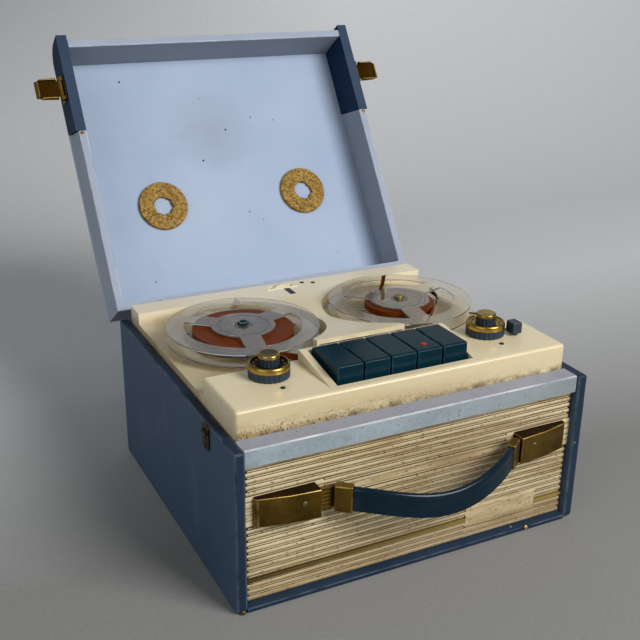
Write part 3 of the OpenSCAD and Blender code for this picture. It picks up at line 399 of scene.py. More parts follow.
def makeClearPlastic():
    material, tree, shader, place = startMaterial("clearPlastic", Transmission_Weight=0.94, IOR=1.46,
                                                  Specular_IOR_Level=0.24, Specular_Tint=(1.0, 0.90, 0.72, 1))
    yellowing = remap(tree, noiseOf(tree, place, 26.0, 4.0), 0.3, 0.7)
    colourInto(tree, shader, mixColour(tree, yellowing, (0.850, 0.785, 0.640, 1), (0.930, 0.885, 0.770, 1)))
    roughnessInto(tree, shader, noiseOf(tree, place, 90.0, 5.0), 0.01, 0.05)
    bumpInto(tree, shader, noiseOf(tree, place, 60.0, 2.0), 0.03, 0.0006)
    return material


def makeTapeOxide():
    material, tree, shader, place = startMaterial("tapeOxide", Specular_IOR_Level=0.04)
    turns = noiseOf(tree, stretched(tree, place, (1, 1, 9)), 700.0, 2.0)
    base = mixColour(tree, remap(tree, turns, 0.3, 0.7), (0.085, 0.0155, 0.0012, 1), (0.185, 0.0390, 0.0032, 1))
    colourInto(tree, shader, base)
    roughnessInto(tree, shader, turns, 0.26, 0.42)
    bumpInto(tree, shader, turns, 0.10, 0.0003)
    return material


def makeCork():
    material, tree, shader, place = startMaterial("cork", Specular_IOR_Level=0.15)
    cells = addNode(tree, "TexVoronoi", {"Vector": place, "Scale": 520.0})
    tone = addNode(tree, "SeparateColor", {0: cells.outputs["Color"]}).outputs[0]
    base = mixColour(tree, tone, (0.150, 0.078, 0.016, 1), (0.500, 0.315, 0.090, 1))
    darker = remap(tree, noiseOf(tree, place, 60.0, 4.0), 0.45, 0.7, 0.0, 0.5)
    base = overlay(tree, base, darker, (0.26, 0.15, 0.035, 1))
    colourInto(tree, shader, base)
    roughnessInto(tree, shader, tone, 0.85, 0.98)
    bumpInto(tree, shader, cells.outputs["Distance"], 0.9, 0.0012)
    return material


def makeWood():
    material, tree, shader, place = startMaterial("bareWood")
    rings = noiseOf(tree, stretched(tree, place, (0.12, 1, 1)), 90.0, 5.0)
    colourInto(tree, shader, mixColour(tree, rings, (0.36, 0.22, 0.11, 1), (0.58, 0.41, 0.24, 1)))
    roughnessInto(tree, shader, rings, 0.55, 0.75)
    bumpInto(tree, shader, rings, 0.15, 0.0004)
    return material


caseCloth = makeCaseCloth("caseCloth", (0.046, 0.080, 0.138, 1), (0.064, 0.104, 0.170, 1),
                          (0.125, 0.155, 0.195, 1), 0.55, 0.15)
edgeCloth = makeCaseCloth("edgeCloth", (0.013, 0.025, 0.045, 1), (0.022, 0.038, 0.064, 1),
                          (0.045, 0.062, 0.085, 1), 0.35, 0.08)
cheekClothPaintedShade = makeCaseCloth("cheekClothPaintedShade", (0.006, 0.018, 0.050, 1), (0.011, 0.027, 0.068, 1),
                           (0.03, 0.05, 0.085, 1), 0.25, 0.05)
cheekRim = makeCaseCloth("cheekRim", (0.026, 0.045, 0.085, 1), (0.040, 0.064, 0.112, 1),
                         (0.075, 0.095, 0.125, 1), 0.45, 0.10)
lidCloth = makeLidCloth("lidCloth", (0.335, 0.415, 0.560, 1), (0.415, 0.495, 0.625, 1), 0.35)
rimCloth = makeLidCloth("rimCloth", (0.295, 0.345, 0.435, 1), (0.370, 0.415, 0.500, 1), 0.55)
wallClothPaintedShade = makeLidCloth("wallClothPaintedShade", (0.230, 0.262, 0.325, 1), (0.285, 0.315, 0.370, 1), 0.50)
railCloth = makeRailCloth()
deckIvory = makeDeckIvory()
agedBrass = makeMetal("agedBrass", (0.275, 0.168, 0.030, 1), (0.100, 0.057, 0.010, 1), (0.60, 0.42, 0.14, 1),
                      (0.32, 0.52))
nearBlackBrass = makeMetal("nearBlackBrass", (0.045, 0.020, 0.003, 1), (0.018, 0.008, 0.001, 1), (0.10, 0.06, 0.012, 1),
                       (0.45, 0.65))
keeperBronze = makeMetal("keeperBronze", (0.120, 0.070, 0.014, 1), (0.035, 0.022, 0.006, 1), (0.42, 0.30, 0.10, 1),
                         (0.35, 0.60), 160.0)
greenBrass = makeMetal("greenBrass", (0.250, 0.215, 0.095, 1), (0.120, 0.130, 0.070, 1), (0.42, 0.42, 0.24, 1),
                       (0.45, 0.65), 300.0)
knobGold = makeMetal("knobGold", (0.560, 0.370, 0.090, 1), (0.300, 0.185, 0.035, 1), (0.78, 0.58, 0.22, 1),
                     (0.20, 0.38), 60.0)
knobBronze = makeMetal("knobBronze", (0.190, 0.150, 0.075, 1), (0.110, 0.085, 0.040, 1), (0.35, 0.28, 0.14, 1),
                       (0.40, 0.60), 60.0)
trimGold = makeTrimGold()
plainSteel = makeMetal("plainSteel", (0.56, 0.56, 0.55, 1), (0.40, 0.40, 0.39, 1), (0.72, 0.72, 0.71, 1),
                       (0.22, 0.40), 40.0, (1, 1, 0.1))
sheetAluminium = makeMetal("sheetAluminium", (0.70, 0.70, 0.70, 1), (0.55, 0.55, 0.55, 1), (0.85, 0.85, 0.85, 1),
                           (0.30, 0.48), 40.0, (0.1, 1, 1))
motorPaint = makePlastic("motorPaint", (0.045, 0.046, 0.050, 1), (0.065, 0.066, 0.072, 1), (0.30, 0.30, 0.30, 1),
                         (0.40, 0.60))
keyTeal = makePlastic("keyTeal", (0.0010, 0.0165, 0.0262, 1), (0.0024, 0.0230, 0.0345, 1), (0.05, 0.13, 0.17, 1),
                      (0.12, 0.22), 0.50, 500.0, 0.04, (0.10, 0.14, 0.16, 1), 0.07)
knobBlue = makePlastic("knobBlue", (0.016, 0.030, 0.045, 1), (0.026, 0.045, 0.064, 1), (0.15, 0.19, 0.22, 1),
                       (0.30, 0.48), 0.4)
strapBlue = makePlastic("strapBlue", (0.0020, 0.0100, 0.0190, 1), (0.0042, 0.0170, 0.0310, 1), (0.05, 0.09, 0.13, 1),
                        (0.15, 0.25), 0.2, 420.0, 0.05, None, 0.22)
blackPlastic = makePlastic("blackPlastic", (0.010, 0.010, 0.011, 1), (0.018, 0.018, 0.019, 1), (0.08, 0.08, 0.08, 1),
                           (0.30, 0.50))
darkRubber = makePlastic("darkRubber", (0.014, 0.014, 0.014, 1), (0.024, 0.023, 0.022, 1), (0.05, 0.05, 0.05, 1),
                         (0.60, 0.80), 0.2, 300.0, 0.2)
redDot = makePlastic("redDot", (0.300, 0.008, 0.012, 1), (0.360, 0.012, 0.016, 1), (0.50, 0.06, 0.06, 1),
                     (0.22, 0.35), 0.2)
clearPlastic, tapeOxide, cork, bareWood = makeClearPlastic(), makeTapeOxide(), makeCork(), makeWood()
print("materials made:", len(bpy.data.materials))


# mesh helpers, all in millimetres

def nodeBox(node):
    low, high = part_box(node)
    return low * perMetre, high * perMetre


def newMesh():
    bm = bmesh.new()
    bm.verts.layers.float.new("edgeMask")
    return bm


def cadCopy(node):
    bm = newMesh()
    bm.from_mesh(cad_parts[node].data)
    bmesh.ops.scale(bm, vec=(perMetre, perMetre, perMetre), verts=bm.verts)
    bmesh.ops.remove_doubles(bm, verts=bm.verts, dist=0.003)
    bmesh.ops.dissolve_limit(bm, angle_limit=radians(0.5), verts=bm.verts[:], edges=bm.edges[:])
    return bm


def sharpEdges(bm, angle=30, keep=None):
    found = [e for e in bm.edges if len(e.link_faces) == 2 and e.calc_face_angle(0) > radians(angle)]
    return [e for e in found if keep(e)] if keep else found


def roundEdges(bm, edges, width, segments=3):
    made = bmesh.ops.bevel(bm, geom=edges, offset=width, offset_type="OFFSET", segments=segments, profile=0.5,
                           affect="EDGES", material=-1, clamp_overlap=True)
    layer = bm.verts.layers.float.get("edgeMask") or bm.verts.layers.float.new("edgeMask")
    fresh = set(made["faces"])
    for v in made["verts"]:  # full wear on the ridge of a bevel, none at its borders
        v[layer] = 1.0 if all(f in fresh for f in v.link_faces) else 0.0


def addBox(bm, low, high):
    low, high = Vector(low), Vector(high)
    verts = bmesh.ops.create_cube(bm, size=1)["verts"]
    bmesh.ops.scale(bm, vec=high - low, verts=verts)
    bmesh.ops.translate(bm, vec=(low + high) / 2, verts=verts)
    return verts


def edgesOf(verts):
    inside = set(verts)
    return list({e for v in verts for e in v.link_edges if e.other_vert(v) in inside})


def facesOf(verts):
    return list({f for v in verts for f in v.link_faces})


def vertsIn(geom):  # the vertices in an operator's result
    return [v for v in geom if isinstance(v, bmesh.types.BMVert)]


def edgesIn(geom):
    return [e for e in geom if isinstance(e, bmesh.types.BMEdge)]


def addSoftBox(bm, low, high, width, segments=3):
    roundEdges(bm, edgesOf(addBox(bm, low, high)), width, segments)


def addRod(bm, start, radius, length, along="Z", segments=40):
    made = bmesh.ops.create_cone(bm, cap_ends=True, segments=segments, radius1=radius, radius2=radius,
                                 depth=length)["verts"]
    bmesh.ops.translate(bm, vec=(0, 0, length / 2), verts=made)
    turns = {"X": Matrix.Rotation(pi / 2, 3, "Y"), "Y": Matrix.Rotation(-pi / 2, 3, "X"), "Z": Matrix.Identity(3)}
    bmesh.ops.rotate(bm, matrix=turns[along], verts=made)
    bmesh.ops.translate(bm, vec=start, verts=made)
    return made


def lathe(bm, profile, centre, steps=72):  # a profile of radius and height, turned round Z
    verts = [bm.verts.new((r, 0, z)) for r, z in profile]
    edges = [bm.edges.new(pair) for pair in zip(verts, verts[1:])]
    if profile[0][0] > 0.001 and profile[-1][0] > 0.001:
        edges.append(bm.edges.new((verts[-1], verts[0])))
    old = set(bm.verts) - set(verts)
    bmesh.ops.spin(bm, geom=verts + edges, cent=(0, 0, 0), axis=(0, 0, 1), angle=2 * pi, steps=steps, use_merge=True)
    made = [v for v in bm.verts if v not in old]
    bmesh.ops.remove_doubles(bm, verts=made, dist=0.002)
    made = [v for v in bm.verts if v not in old]
    bmesh.ops.recalc_face_normals(bm, faces=facesOf(made))
    bmesh.ops.translate(bm, vec=centre, verts=made)
    return made


def addFluted(bm, centre, radius, depth, height, count, taper=0.0):  # a grip with upright flutes
    made = bmesh.ops.create_circle(bm, cap_ends=True, radius=radius, segments=count * 4)["verts"]
    for v in made:
        step = round(atan2(v.co.y, v.co.x) / (2 * pi) * count * 4) % 4
        shrink = (radius - depth * (0.0, 0.0, 0.75, 0.75)[step]) / radius
        v.co.x *= shrink
        v.co.y *= shrink
    bottom = list(made[0].link_faces)
    raised = bmesh.ops.extrude_face_region(bm, geom=bottom, use_keep_orig=True)["geom"]
    top = vertsIn(raised)
    bmesh.ops.translate(bm, vec=(0, 0, height), verts=top)
    if taper:
        shrink = (radius - taper) / radius
        bmesh.ops.scale(bm, vec=(shrink, shrink, 1), verts=top)
    everything = made + top
    bmesh.ops.recalc_face_normals(bm, faces=facesOf(everything))
    bmesh.ops.translate(bm, vec=centre, verts=everything)


def addPrism(bm, outline, move):  # an outline pulled straight along a vector
    face = bm.faces.new([bm.verts.new(p) for p in outline])
    raised = bmesh.ops.extrude_face_region(bm, geom=[face], use_keep_orig=True)["geom"]
    bmesh.ops.translate(bm, vec=move, verts=vertsIn(raised))
    bmesh.ops.recalc_face_normals(bm, faces=bm.faces[:])


def addDome(bm, centre, radius, height, outward):  # a low round head, as on a tack
    profile = [(radius, 0), (radius, height * 0.15)]
    profile += [(radius * cos(a), height * (0.15 + 0.85 * sin(a))) for a in (pi / 8, pi / 4, pi * 3 / 8)]
    profile += [(0, height)]
    made = lathe(bm, [(0, 0)] + profile, (0, 0, 0), 20)
    turn = Vector((0, 0, 1)).rotation_difference(Vector(outward)).to_matrix()
    bmesh.ops.rotate(bm, matrix=turn, verts=made)
    bmesh.ops.translate(bm, vec=centre, verts=made)
    return made


def paintFaces(verts, index):  # gives the faces round these vertices a material of the piece's list
    for f in facesOf(verts):
        f.material_index = index


def makePiece(name, bm, materials, body, stands=(), sharp=40):
    bmesh.ops.scale(bm, vec=(toMetres, toMetres, toMetres), verts=bm.verts)
    mesh = bpy.data.meshes.new(name)
    bm.to_mesh(mesh)
    bm.free()
    if "custom_normal" in mesh.attributes:
        mesh.attributes.remove(mesh.attributes["custom_normal"])
    mesh.shade_smooth()
    mesh.set_sharp_from_angle(angle=radians(sharp))
    for material in materials if isinstance(materials, list) else [materials]:
        mesh.materials.append(material)
    piece = bpy.data.objects.new(name, mesh)
    scene.collection.objects.link(piece)
    weighted = piece.modifiers.new("weightedNormals", "WEIGHTED_NORMAL")
    weighted.keep_sharp = True
    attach(piece, body)
    if stands:
        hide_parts(*stands)
    return piece


def pieceName(node):  # front_rail becomes frontRail
    first, *rest = node.split("_")
    return first + "".join(w.capitalize() for w in rest)


def softNode(node, material, body, width, segments=3, angle=35, keep=None):
    bm = cadCopy(node)
    roundEdges(bm, sharpEdges(bm, angle, keep), width, segments)
    makePiece(pieceName(node), bm, material, body, [node])


lidHinge = {"y": 162.0, "z": 153.8, "open": -123.5}
lidTurn = Matrix.Rotation(radians(lidHinge["open"]), 3, "X")


def openLid(bm):  # from the closed place to the open one
    bmesh.ops.rotate(bm, cent=(0, lidHinge["y"], lidHinge["z"]), matrix=lidTurn, verts=bm.verts)


# the case

caseBoards = {"edge": 2.2, "corner": 6.0, "thin": 0.9, "railEdge": 1.5}


def makeSidePanel(name, node):
    low, high = nodeBox(node)
    bm = newMesh()
    addBox(bm, low, high)
    corners = [e for e in bm.edges if abs(e.verts[0].co.x - e.verts[1].co.x) > 1
               and e.verts[0].co.z < low.z + 1]
    roundEdges(bm, corners, caseBoards["corner"], 6)
    roundEdges(bm, sharpEdges(bm, 45), caseBoards["edge"], 4)
    for f in bm.faces:  # the broad outer faces take the lighter cloth, the edges and ends the darker one
        f.material_index = 0 if abs(f.normal.x) > 0.8 else 1
    makePiece(name, bm, [caseCloth, edgeCloth], "case", [node])


makeSidePanel("sidePanelLeft", "case_side_left")
makeSidePanel("sidePanelRight", "case_side_right")
softNode("case_bottom", edgeCloth, "case", caseBoards["thin"])
softNode("case_back", caseCloth, "case", caseBoards["thin"])
softNode("front_rail", railCloth, "case", caseBoards["railEdge"], 4)

boardTacks = {"radius": 2.1, "height": 1.3, "front": [(-169.5, -157.0, 2.6), (120.0, -157.0, 3.9)],
              "lean": (0, -1, 0.25), "backY": 157.0, "backColumns": (-150, 0, 150), "backRows": (140, 20),
              "backRadius": 3.2, "backHeight": 1.6}


def makeTacks():
    bm = newMesh()
    t = boardTacks
    for place in t["front"]:
        addDome(bm, place, t["radius"], t["height"], t["lean"])
    for x in t["backColumns"]:
        for z in t["backRows"]:
            addDome(bm, (x, t["backY"], z), t["backRadius"], t["backHeight"], (0, 1, 0))
    makePiece("caseTacks", bm, trimGold, "case")


makeTacks()
print("case boards made")


# the ribbed front

frontRibs = {"pitch": 5.9, "width": 3.4, "start": 7.5, "round": 1.6, "root": 2.2, "reach": 161.5, "fine": 1.1,
             "fineHeight": 1.75, "fineEdge": 0.3, "fineRub": 0.6, "brackets": (79, 107), "tongues": (88.5, 99.5),
             "between": 92, "plateHeights": (17.5, 38.5), "plate": (53, 133), "trim": (24, 28)}


def makeGrilleIvory():
    material, tree, shader, place = startMaterial("grilleIvory", Specular_IOR_Level=0.35)
    axes = axesOf(tree, place)
    front, start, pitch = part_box("front_grille")[0].y, frontRibs["start"] * toMetres, frontRibs["pitch"] * toMetres
    broad = noiseOf(tree, stretched(tree, place, (0.5, 1, 1)), 16.0, 6.0, 0.65)
    base = mixColour(tree, remap(tree, broad, 0.3, 0.7), (0.650, 0.520, 0.285, 1), (0.825, 0.710, 0.450, 1))
    streak = stainMask(tree, stretched(tree, place, (0.22, 1, 2.6)), 48.0, 0.46, 0.68)
    base = overlay(tree, base, streak, (0.350, 0.220, 0.080, 1), 0.78)
    # painted shade and dirt in the grooves: the deeper, the darker
    deep = remap(tree, axes[1], front + 0.0003, front + 0.0010)
    deep = times(tree, deep, remap(tree, noiseOf(tree, place, 38.0, 5.0), 0.25, 0.65, 0.72, 1.0), True)
    base = overlay(tree, base, deep, (0.045, 0.024, 0.008, 1))
    # painted shade along the lower half of each rib, in a grime brown
    along = mathOf(tree, "FRACT", mathOf(tree, "DIVIDE", mathOf(tree, "SUBTRACT", axes[2], start), pitch))
    ribUndersideShade = times(tree, remap(tree, along, 0.34, 0.10),
                  remap(tree, noiseOf(tree, stretched(tree, place, (0.3, 1, 1)), 60.0, 5.0), 0.28, 0.62, 0.45, 0.95))
    left, right = (x * toMetres for x in frontRibs["plate"])
    plate = times(tree, remap(tree, axes[0], left - 0.0005, left + 0.0005),
                  remap(tree, axes[0], right + 0.0005, right - 0.0005))
    plate = times(tree, plate, remap(tree, axes[2], 0.0390, 0.0385))
    ribUndersideShade = times(tree, ribUndersideShade, mathOf(tree, "SUBTRACT", 1.0, plate))
    base = overlay(tree, base, ribUndersideShade, (0.180, 0.108, 0.038, 1))
    # painted shadow of the strap mixed with hand marks round it, and a brown darkening towards the foot
    strapShadowAndHandMarks = vectorOf(tree, "DISTANCE", stretched(tree, place, (0.42, 0.0, 1.0)), (0.014, 0.0, 0.098))
    strapShadowAndHandMarks = times(tree, remap(tree, strapShadowAndHandMarks, 0.050, 0.008, 0.0, 0.80), remap(tree, broad, 0.25, 0.7))
    foot = times(tree, remap(tree, axes[2], 0.060, 0.010, 0.0, 0.75), remap(tree, broad, 0.25, 0.6))
    base = overlay(tree, base, mathOf(tree, "MAXIMUM", strapShadowAndHandMarks, foot), (0.25, 0.155, 0.065, 1))
    dots = stainMask(tree, stretched(tree, place, (0.5, 1, 1)), 420.0, 0.56, 0.66)
    base = overlay(tree, base, dots, (0.11, 0.065, 0.027, 1), 0.8)
    worn = wearMask(tree, stretched(tree, place, (0.3, 1, 1)), 90.0, 0.85)
    base = overlay(tree, base, worn, (0.86, 0.78, 0.56, 1))
    colourInto(tree, shader, base)
    roughnessInto(tree, shader, broad, 0.34, 0.52)
    bumpInto(tree, shader, noiseOf(tree, place, 420.0, 3.0), 0.12, 0.0004)
    return material


def fineSpans(z):  # where a fine rib at this height runs, clear of the handle, the plate and the trim
    def within(band):
        return frontRibs[band][0] < z < frontRibs[band][1]

    reach, between = frontRibs["reach"], frontRibs["between"]
    if within("tongues") or within("trim"):
        return []
    if within("brackets"):
        return [(-between, between)]
    if within("plateHeights"):
        return [(-reach, frontRibs["plate"][0]), (frontRibs["plate"][1], reach)]
    return [(-reach, reach)]


def makeGrille():
    low, high = nodeBox("front_grille")
    bm = cadCopy("front_grille")

    def onFront(e):
        return max(v.co.y for v in e.verts) < low.y + 0.4

    roundEdges(bm, sharpEdges(bm, 40, onFront), frontRibs["round"], 4)
    root = low.y + frontRibs["root"]
    half = frontRibs["fine"] / 2
    before = set(bm.verts)
    z = frontRibs["start"] + frontRibs["width"]
    gap = frontRibs["pitch"] - frontRibs["width"]
    while z + gap < high.z - 1:  # a fine rib in each groove
        middle = z + gap / 2
        for start, end in fineSpans(middle):
            addSoftBox(bm, (start, root - frontRibs["fineHeight"], middle - half), (end, root + 0.5, middle + half),
                       frontRibs["fineEdge"], 2)
        z += frontRibs["pitch"]
    layer = bm.verts.layers.float["edgeMask"]
    for v in bm.verts:  # the fine ribs lie deeper and are rubbed less
        if v not in before:
            v[layer] *= frontRibs["fineRub"]
    makePiece("frontGrille", bm, makeGrilleIvory(), "case", ["front_grille"])


makeGrille()
softNode("grille_trim", trimGold, "case", 0.4, 2)
print("grille made")


# the handle: wedge brackets, ribbed tongues, ferrules and the strap

# the wedge is x, and how far out from the ribs
bracketFacts = {"front": -150.0, "high": 27.0, "edge": 1.7, "mouthRim": 0.5, "mouthDeep": 10.0,
                "wedge": [(101, 0), (101, 14), (129, 11.2), (155, 5.5), (157, 3.5), (157, 0)],
                "rivet": (116.0, 12.5, 3.0), "rivetLean": (-0.0995, -0.995, 0), "rivetRadius": 2.5, "rivetHeight": 0.8}
handleFacts = {"z": 93.0, "middle": 5.5, "half": 95.0, "turn": 38.0, "droop": 9.0, "strapSteps": 64,
               "ferruleY": -158.0, "ferruleLong": 16.0, "ferruleHigh": 25.0, "ferruleThick": 9.0, "ferruleEdge": 1.6,
               "tongueY": -156.2, "tongue": 36.0, "tongueHalf": 11.0, "tongueEdge": 0.4, "ribs": 6, "ribPitch": 3.6,
               "ribHalf": 0.95}
ferruleRoot = handleFacts["half"] - handleFacts["ferruleThick"] / 2 * sin(radians(handleFacts["turn"]))


def mirror(bm, verts, faces):  # over to the other side
    bmesh.ops.scale(bm, vec=(-1, 1, 1), verts=verts)
    bmesh.ops.reverse_faces(bm, faces=faces)


def addTwin(bm):  # the same again on the other side
    made = bmesh.ops.duplicate(bm, geom=bm.verts[:] + bm.edges[:] + bm.faces[:])["geom"]
    mirror(bm, vertsIn(made), [f for f in made if isinstance(f, bmesh.types.BMFace)])


def mouthOf(bm):  # the largest face towards the middle
    return max((f for f in bm.faces if f.normal.x < -0.9), key=lambda f: f.calc_area())


def makeBrackets():
    b = bracketFacts
    bm = newMesh()
    front, low = b["front"], handleFacts["z"] - b["high"] / 2
    addPrism(bm, [(x, front - out, low) for x, out in b["wedge"]], (0, 0, b["high"]))

    def offWall(e):
        return not all(v.co.y > front - 0.01 for v in e.verts)

    roundEdges(bm, sharpEdges(bm, 25, offWall), b["edge"], 4)
    mouth = mouthOf(bm)
    bmesh.ops.inset_region(bm, faces=[mouth], thickness=b["mouthRim"])
    pushed = bmesh.ops.extrude_face_region(bm, geom=[mouth])["geom"]
    bmesh.ops.translate(bm, vec=(b["mouthDeep"], 0, 0), verts=vertsIn(pushed))
    bmesh.ops.delete(bm, geom=[mouth], context="FACES_ONLY")
    for f in bm.faces:  # the upper side is nearly black
        f.material_index = 1 if f.normal.z > 0.8 else 0
    x, out, up = b["rivet"]
    rivet = addDome(bm, (x, front - out, handleFacts["z"] + up), b["rivetRadius"], b["rivetHeight"], b["rivetLean"])
    paintFaces(rivet, 2)
    addTwin(bm)
    makePiece("handleBrackets", bm, [agedBrass, nearBlackBrass, greenBrass], "case", ["handle_brackets"])


def makeHandleEnds():
    f = handleFacts
    bm = newMesh()
    thick, high = f["ferruleThick"] / 2, f["ferruleHigh"] / 2
    addSoftBox(bm, (-f["ferruleLong"], -thick, -high), (0, thick, high), f["ferruleEdge"], 4)
    bmesh.ops.inset_region(bm, faces=[mouthOf(bm)], thickness=0.5, depth=-0.8)
    bmesh.ops.rotate(bm, matrix=Matrix.Rotation(radians(f["turn"]), 3, "Z"), verts=bm.verts)
    bmesh.ops.translate(bm, vec=(ferruleRoot, f["ferruleY"], f["z"]), verts=bm.verts)
    start, end, y, half = ferruleRoot - 2, f["half"] + f["tongue"], f["tongueY"], f["tongueHalf"]
    addSoftBox(bm, (start, y - 0.75, f["z"] - half), (end, y + 1.25, f["z"] + half), f["tongueEdge"], 2)
    for step in range(f["ribs"]):  # ribs along the tongue
        middle = f["z"] + (step - (f["ribs"] - 1) / 2) * f["ribPitch"]
        addSoftBox(bm, (start, y - 1.25, middle - f["ribHalf"]), (end, y, middle + f["ribHalf"]), f["tongueEdge"], 2)
    addTwin(bm)
    bmesh.ops.translate(bm, vec=(f["middle"], 0, 0), verts=bm.verts)
    makePiece("handleEnds", bm, agedBrass, "handle", ["handle_ends"])


def strapAt(t):  # a place on the strap's arc and its outward direction
    f = handleFacts
    turn = radians(f["turn"])
    a = turn * (2 * t - 1)
    mouthX, mouthY = ferruleRoot - f["ferruleLong"] * cos(turn), f["ferruleY"] - f["ferruleLong"] * sin(turn)
    bend = mouthX / sin(turn)
    place = Vector((f["middle"] + bend * sin(a), mouthY - bend * (cos(a) - cos(turn)),
                    f["z"] - f["droop"] * (1 - cos(2 * pi * t)) / 2))
    return place, Vector((sin(a), -cos(a), 0))


def strapSection():  # out and up: a smooth crown, six ribs below it, a flat back
    points = [(-3.0, -9.6), (-2.4, -10.8), (-1.2, -11.25), (0.8, -11.2)]
    for rib in range(6):
        base = -10.7 + rib * 2.35
        points += [(2.45, base), (2.85, base + 0.5), (2.9, base + 1.5), (2.5, base + 2.05)]
    points += [(2.6, 3.9), (3.0, 5.4), (2.9, 7.6), (2.3, 9.5), (1.2, 10.85), (-0.2, 11.25), (-1.6, 10.9), (-2.6, 9.9),
               (-3.0, 8.6)]
    return points


def makeStrap():
    bm = newMesh()
    section, steps = strapSection(), handleFacts["strapSteps"]
    ring = [bm.verts.new((0, out, up)) for out, up in section]
    edges = [bm.edges.new((a, b)) for a, b in zip(ring, ring[1:] + ring[:1])]
    bm.faces.new(ring)
    for step in range(steps + 1):
        place, out = strapAt(step / steps)
        if step:
            made = bmesh.ops.extrude_edge_only(bm, edges=edges)["geom"]
            edges = edgesIn(made)
            before, following = set(ring), {}
            for v in vertsIn(made):
                following[next(e.other_vert(v) for e in v.link_edges if e.other_vert(v) in before)] = v
            ring = [following[v] for v in ring]
        for v, (a, b) in zip(ring, section):
            v.co = place + out * a + Vector((0, 0, b))
    bm.faces.new(ring)
    bmesh.ops.recalc_face_normals(bm, faces=bm.faces[:])
    makePiece("strapGrip", bm, strapBlue, "handle", ["handle_grip"], 60)


makeBrackets()
makeHandleEnds()
makeStrap()

keeperPlates = {"corner": 4.5, "edge": 0.35}


def makeKeepers():  # plates with round corners
    low, high = nodeBox("latch_keepers")
    bm = cadCopy("latch_keepers")

    def atCorner(e):  # an edge through the plate at its upper or lower end
        a, b = (v.co for v in e.verts)
        through = abs(a.x - b.x) > 1.4 and abs(a.y - b.y) < 0.1
        return through and all(z < low.z + 0.1 or z > high.z - 0.1 for z in (a.z, b.z))

    roundEdges(bm, [e for e in bm.edges if atCorner(e)], keeperPlates["corner"], 6)
    roundEdges(bm, sharpEdges(bm, 45), keeperPlates["edge"], 2)
    makePiece("latchKeepers", bm, keeperBronze, "case", ["latch_keepers"])


makeKeepers()
print("handle made")


# the lid

lidParts = {"edge": 1.5, "cheekEdge": 2.0, "wallFrom": 80.0}


def fromClosed(direction):  # a direction on the closed lid, as it lies on the open one
    return lidTurn @ Vector(direction)


def makeLidFrame():
    bm = cadCopy("lid_frame")
    roundEdges(bm, sharpEdges(bm, 35), lidParts["edge"], 3)
    lengthwise = fromClosed((0, 1, 0))
    for f in bm.faces:  # painted shade: the walls inside take a darker, greyer copy of the cloth than the rim
        inward = f.normal.x * f.calc_center_median().x < -lidParts["wallFrom"] or f.normal.dot(lengthwise) > 0.8
        f.material_index = 1 if inward else 0
    makePiece("lidFrame", bm, [rimCloth, wallClothPaintedShade], "lid", ["lid_frame"])


def makeCheeks():
    bm = cadCopy("lid_cheeks")
    roundEdges(bm, sharpEdges(bm, 35), lidParts["cheekEdge"], 4)
    rim = fromClosed((0, 0, -1))
    for f in bm.faces:  # painted shade: the sides that do not face out of the lid take a darker copy of the cloth
        f.material_index = 1 if f.normal.dot(rim) > 0.5 else 0
    makePiece("lidCheeks", bm, [cheekClothPaintedShade, cheekRim], "lid", ["lid_cheeks"])


makeLidFrame()
softNode("lid_panel", lidCloth, "lid", lidParts["edge"])
makeCheeks()
softNode("latch_bases", agedBrass, "lid", 0.4, 2)

latchTray = {"x": 181.1, "y": -97.0, "top": 161.4, "low": 158.5, "rimEdge": 0.6, "plateEdge": 0.4, "soiled": 120,
             "end": (24.0, 25.8), "endHalf": 8.4, "side": (5.5, 22.5), "sideOff": (9.8, 11.3)}


def makeLatchLever(name, node, body, side):  # a plate with rims turned over on the side that meets the case
    t = latchTray
    bm = cadCopy(node)
    roundEdges(bm, sharpEdges(bm, 35), t["plateEdge"], 2)
    for f in bm.faces:  # the broad faces take the near-black brass
        f.material_index = 1 if f.calc_area() > t["soiled"] else 0
    rims = newMesh()
    start, end = (t["x"] + x for x in t["end"])
    addSoftBox(rims, (start, t["y"] - t["endHalf"], t["low"]), (end, t["y"] + t["endHalf"], t["top"]), t["rimEdge"])
    start, end = (t["x"] + x for x in t["side"])
    for edge in (-1, 1):
        near, far = sorted(t["y"] + edge * off for off in t["sideOff"])
        addSoftBox(rims, (start, near, t["low"]), (end, far, t["top"]), t["rimEdge"])
    if side < 0:
        mirror(rims, rims.verts[:], rims.faces[:])
    openLid(rims)
    spare = bpy.data.meshes.new("latchRims")
    rims.to_mesh(spare)
    rims.free()
    bm.from_mesh(spare)
    bpy.data.meshes.remove(spare)
    makePiece(name, bm, [agedBrass, nearBlackBrass], body, [node])


makeLatchLever("latchLeverLeft", "latch_lever_left", "latch_left", -1)
makeLatchLever("latchLeverRight", "latch_lever_right", "latch_right", 1)

corkRings = {"x": 87.0, "y": 35.4, "floor": 198.4, "outer": 28.0, "hole": 11.5, "thick": 4.4, "edge": 0.8, "rows": 9,
             "tornWidth": 6, "tear": 2.6, "tearIn": 0.9, "uneven": 0.35, "steps": 96}


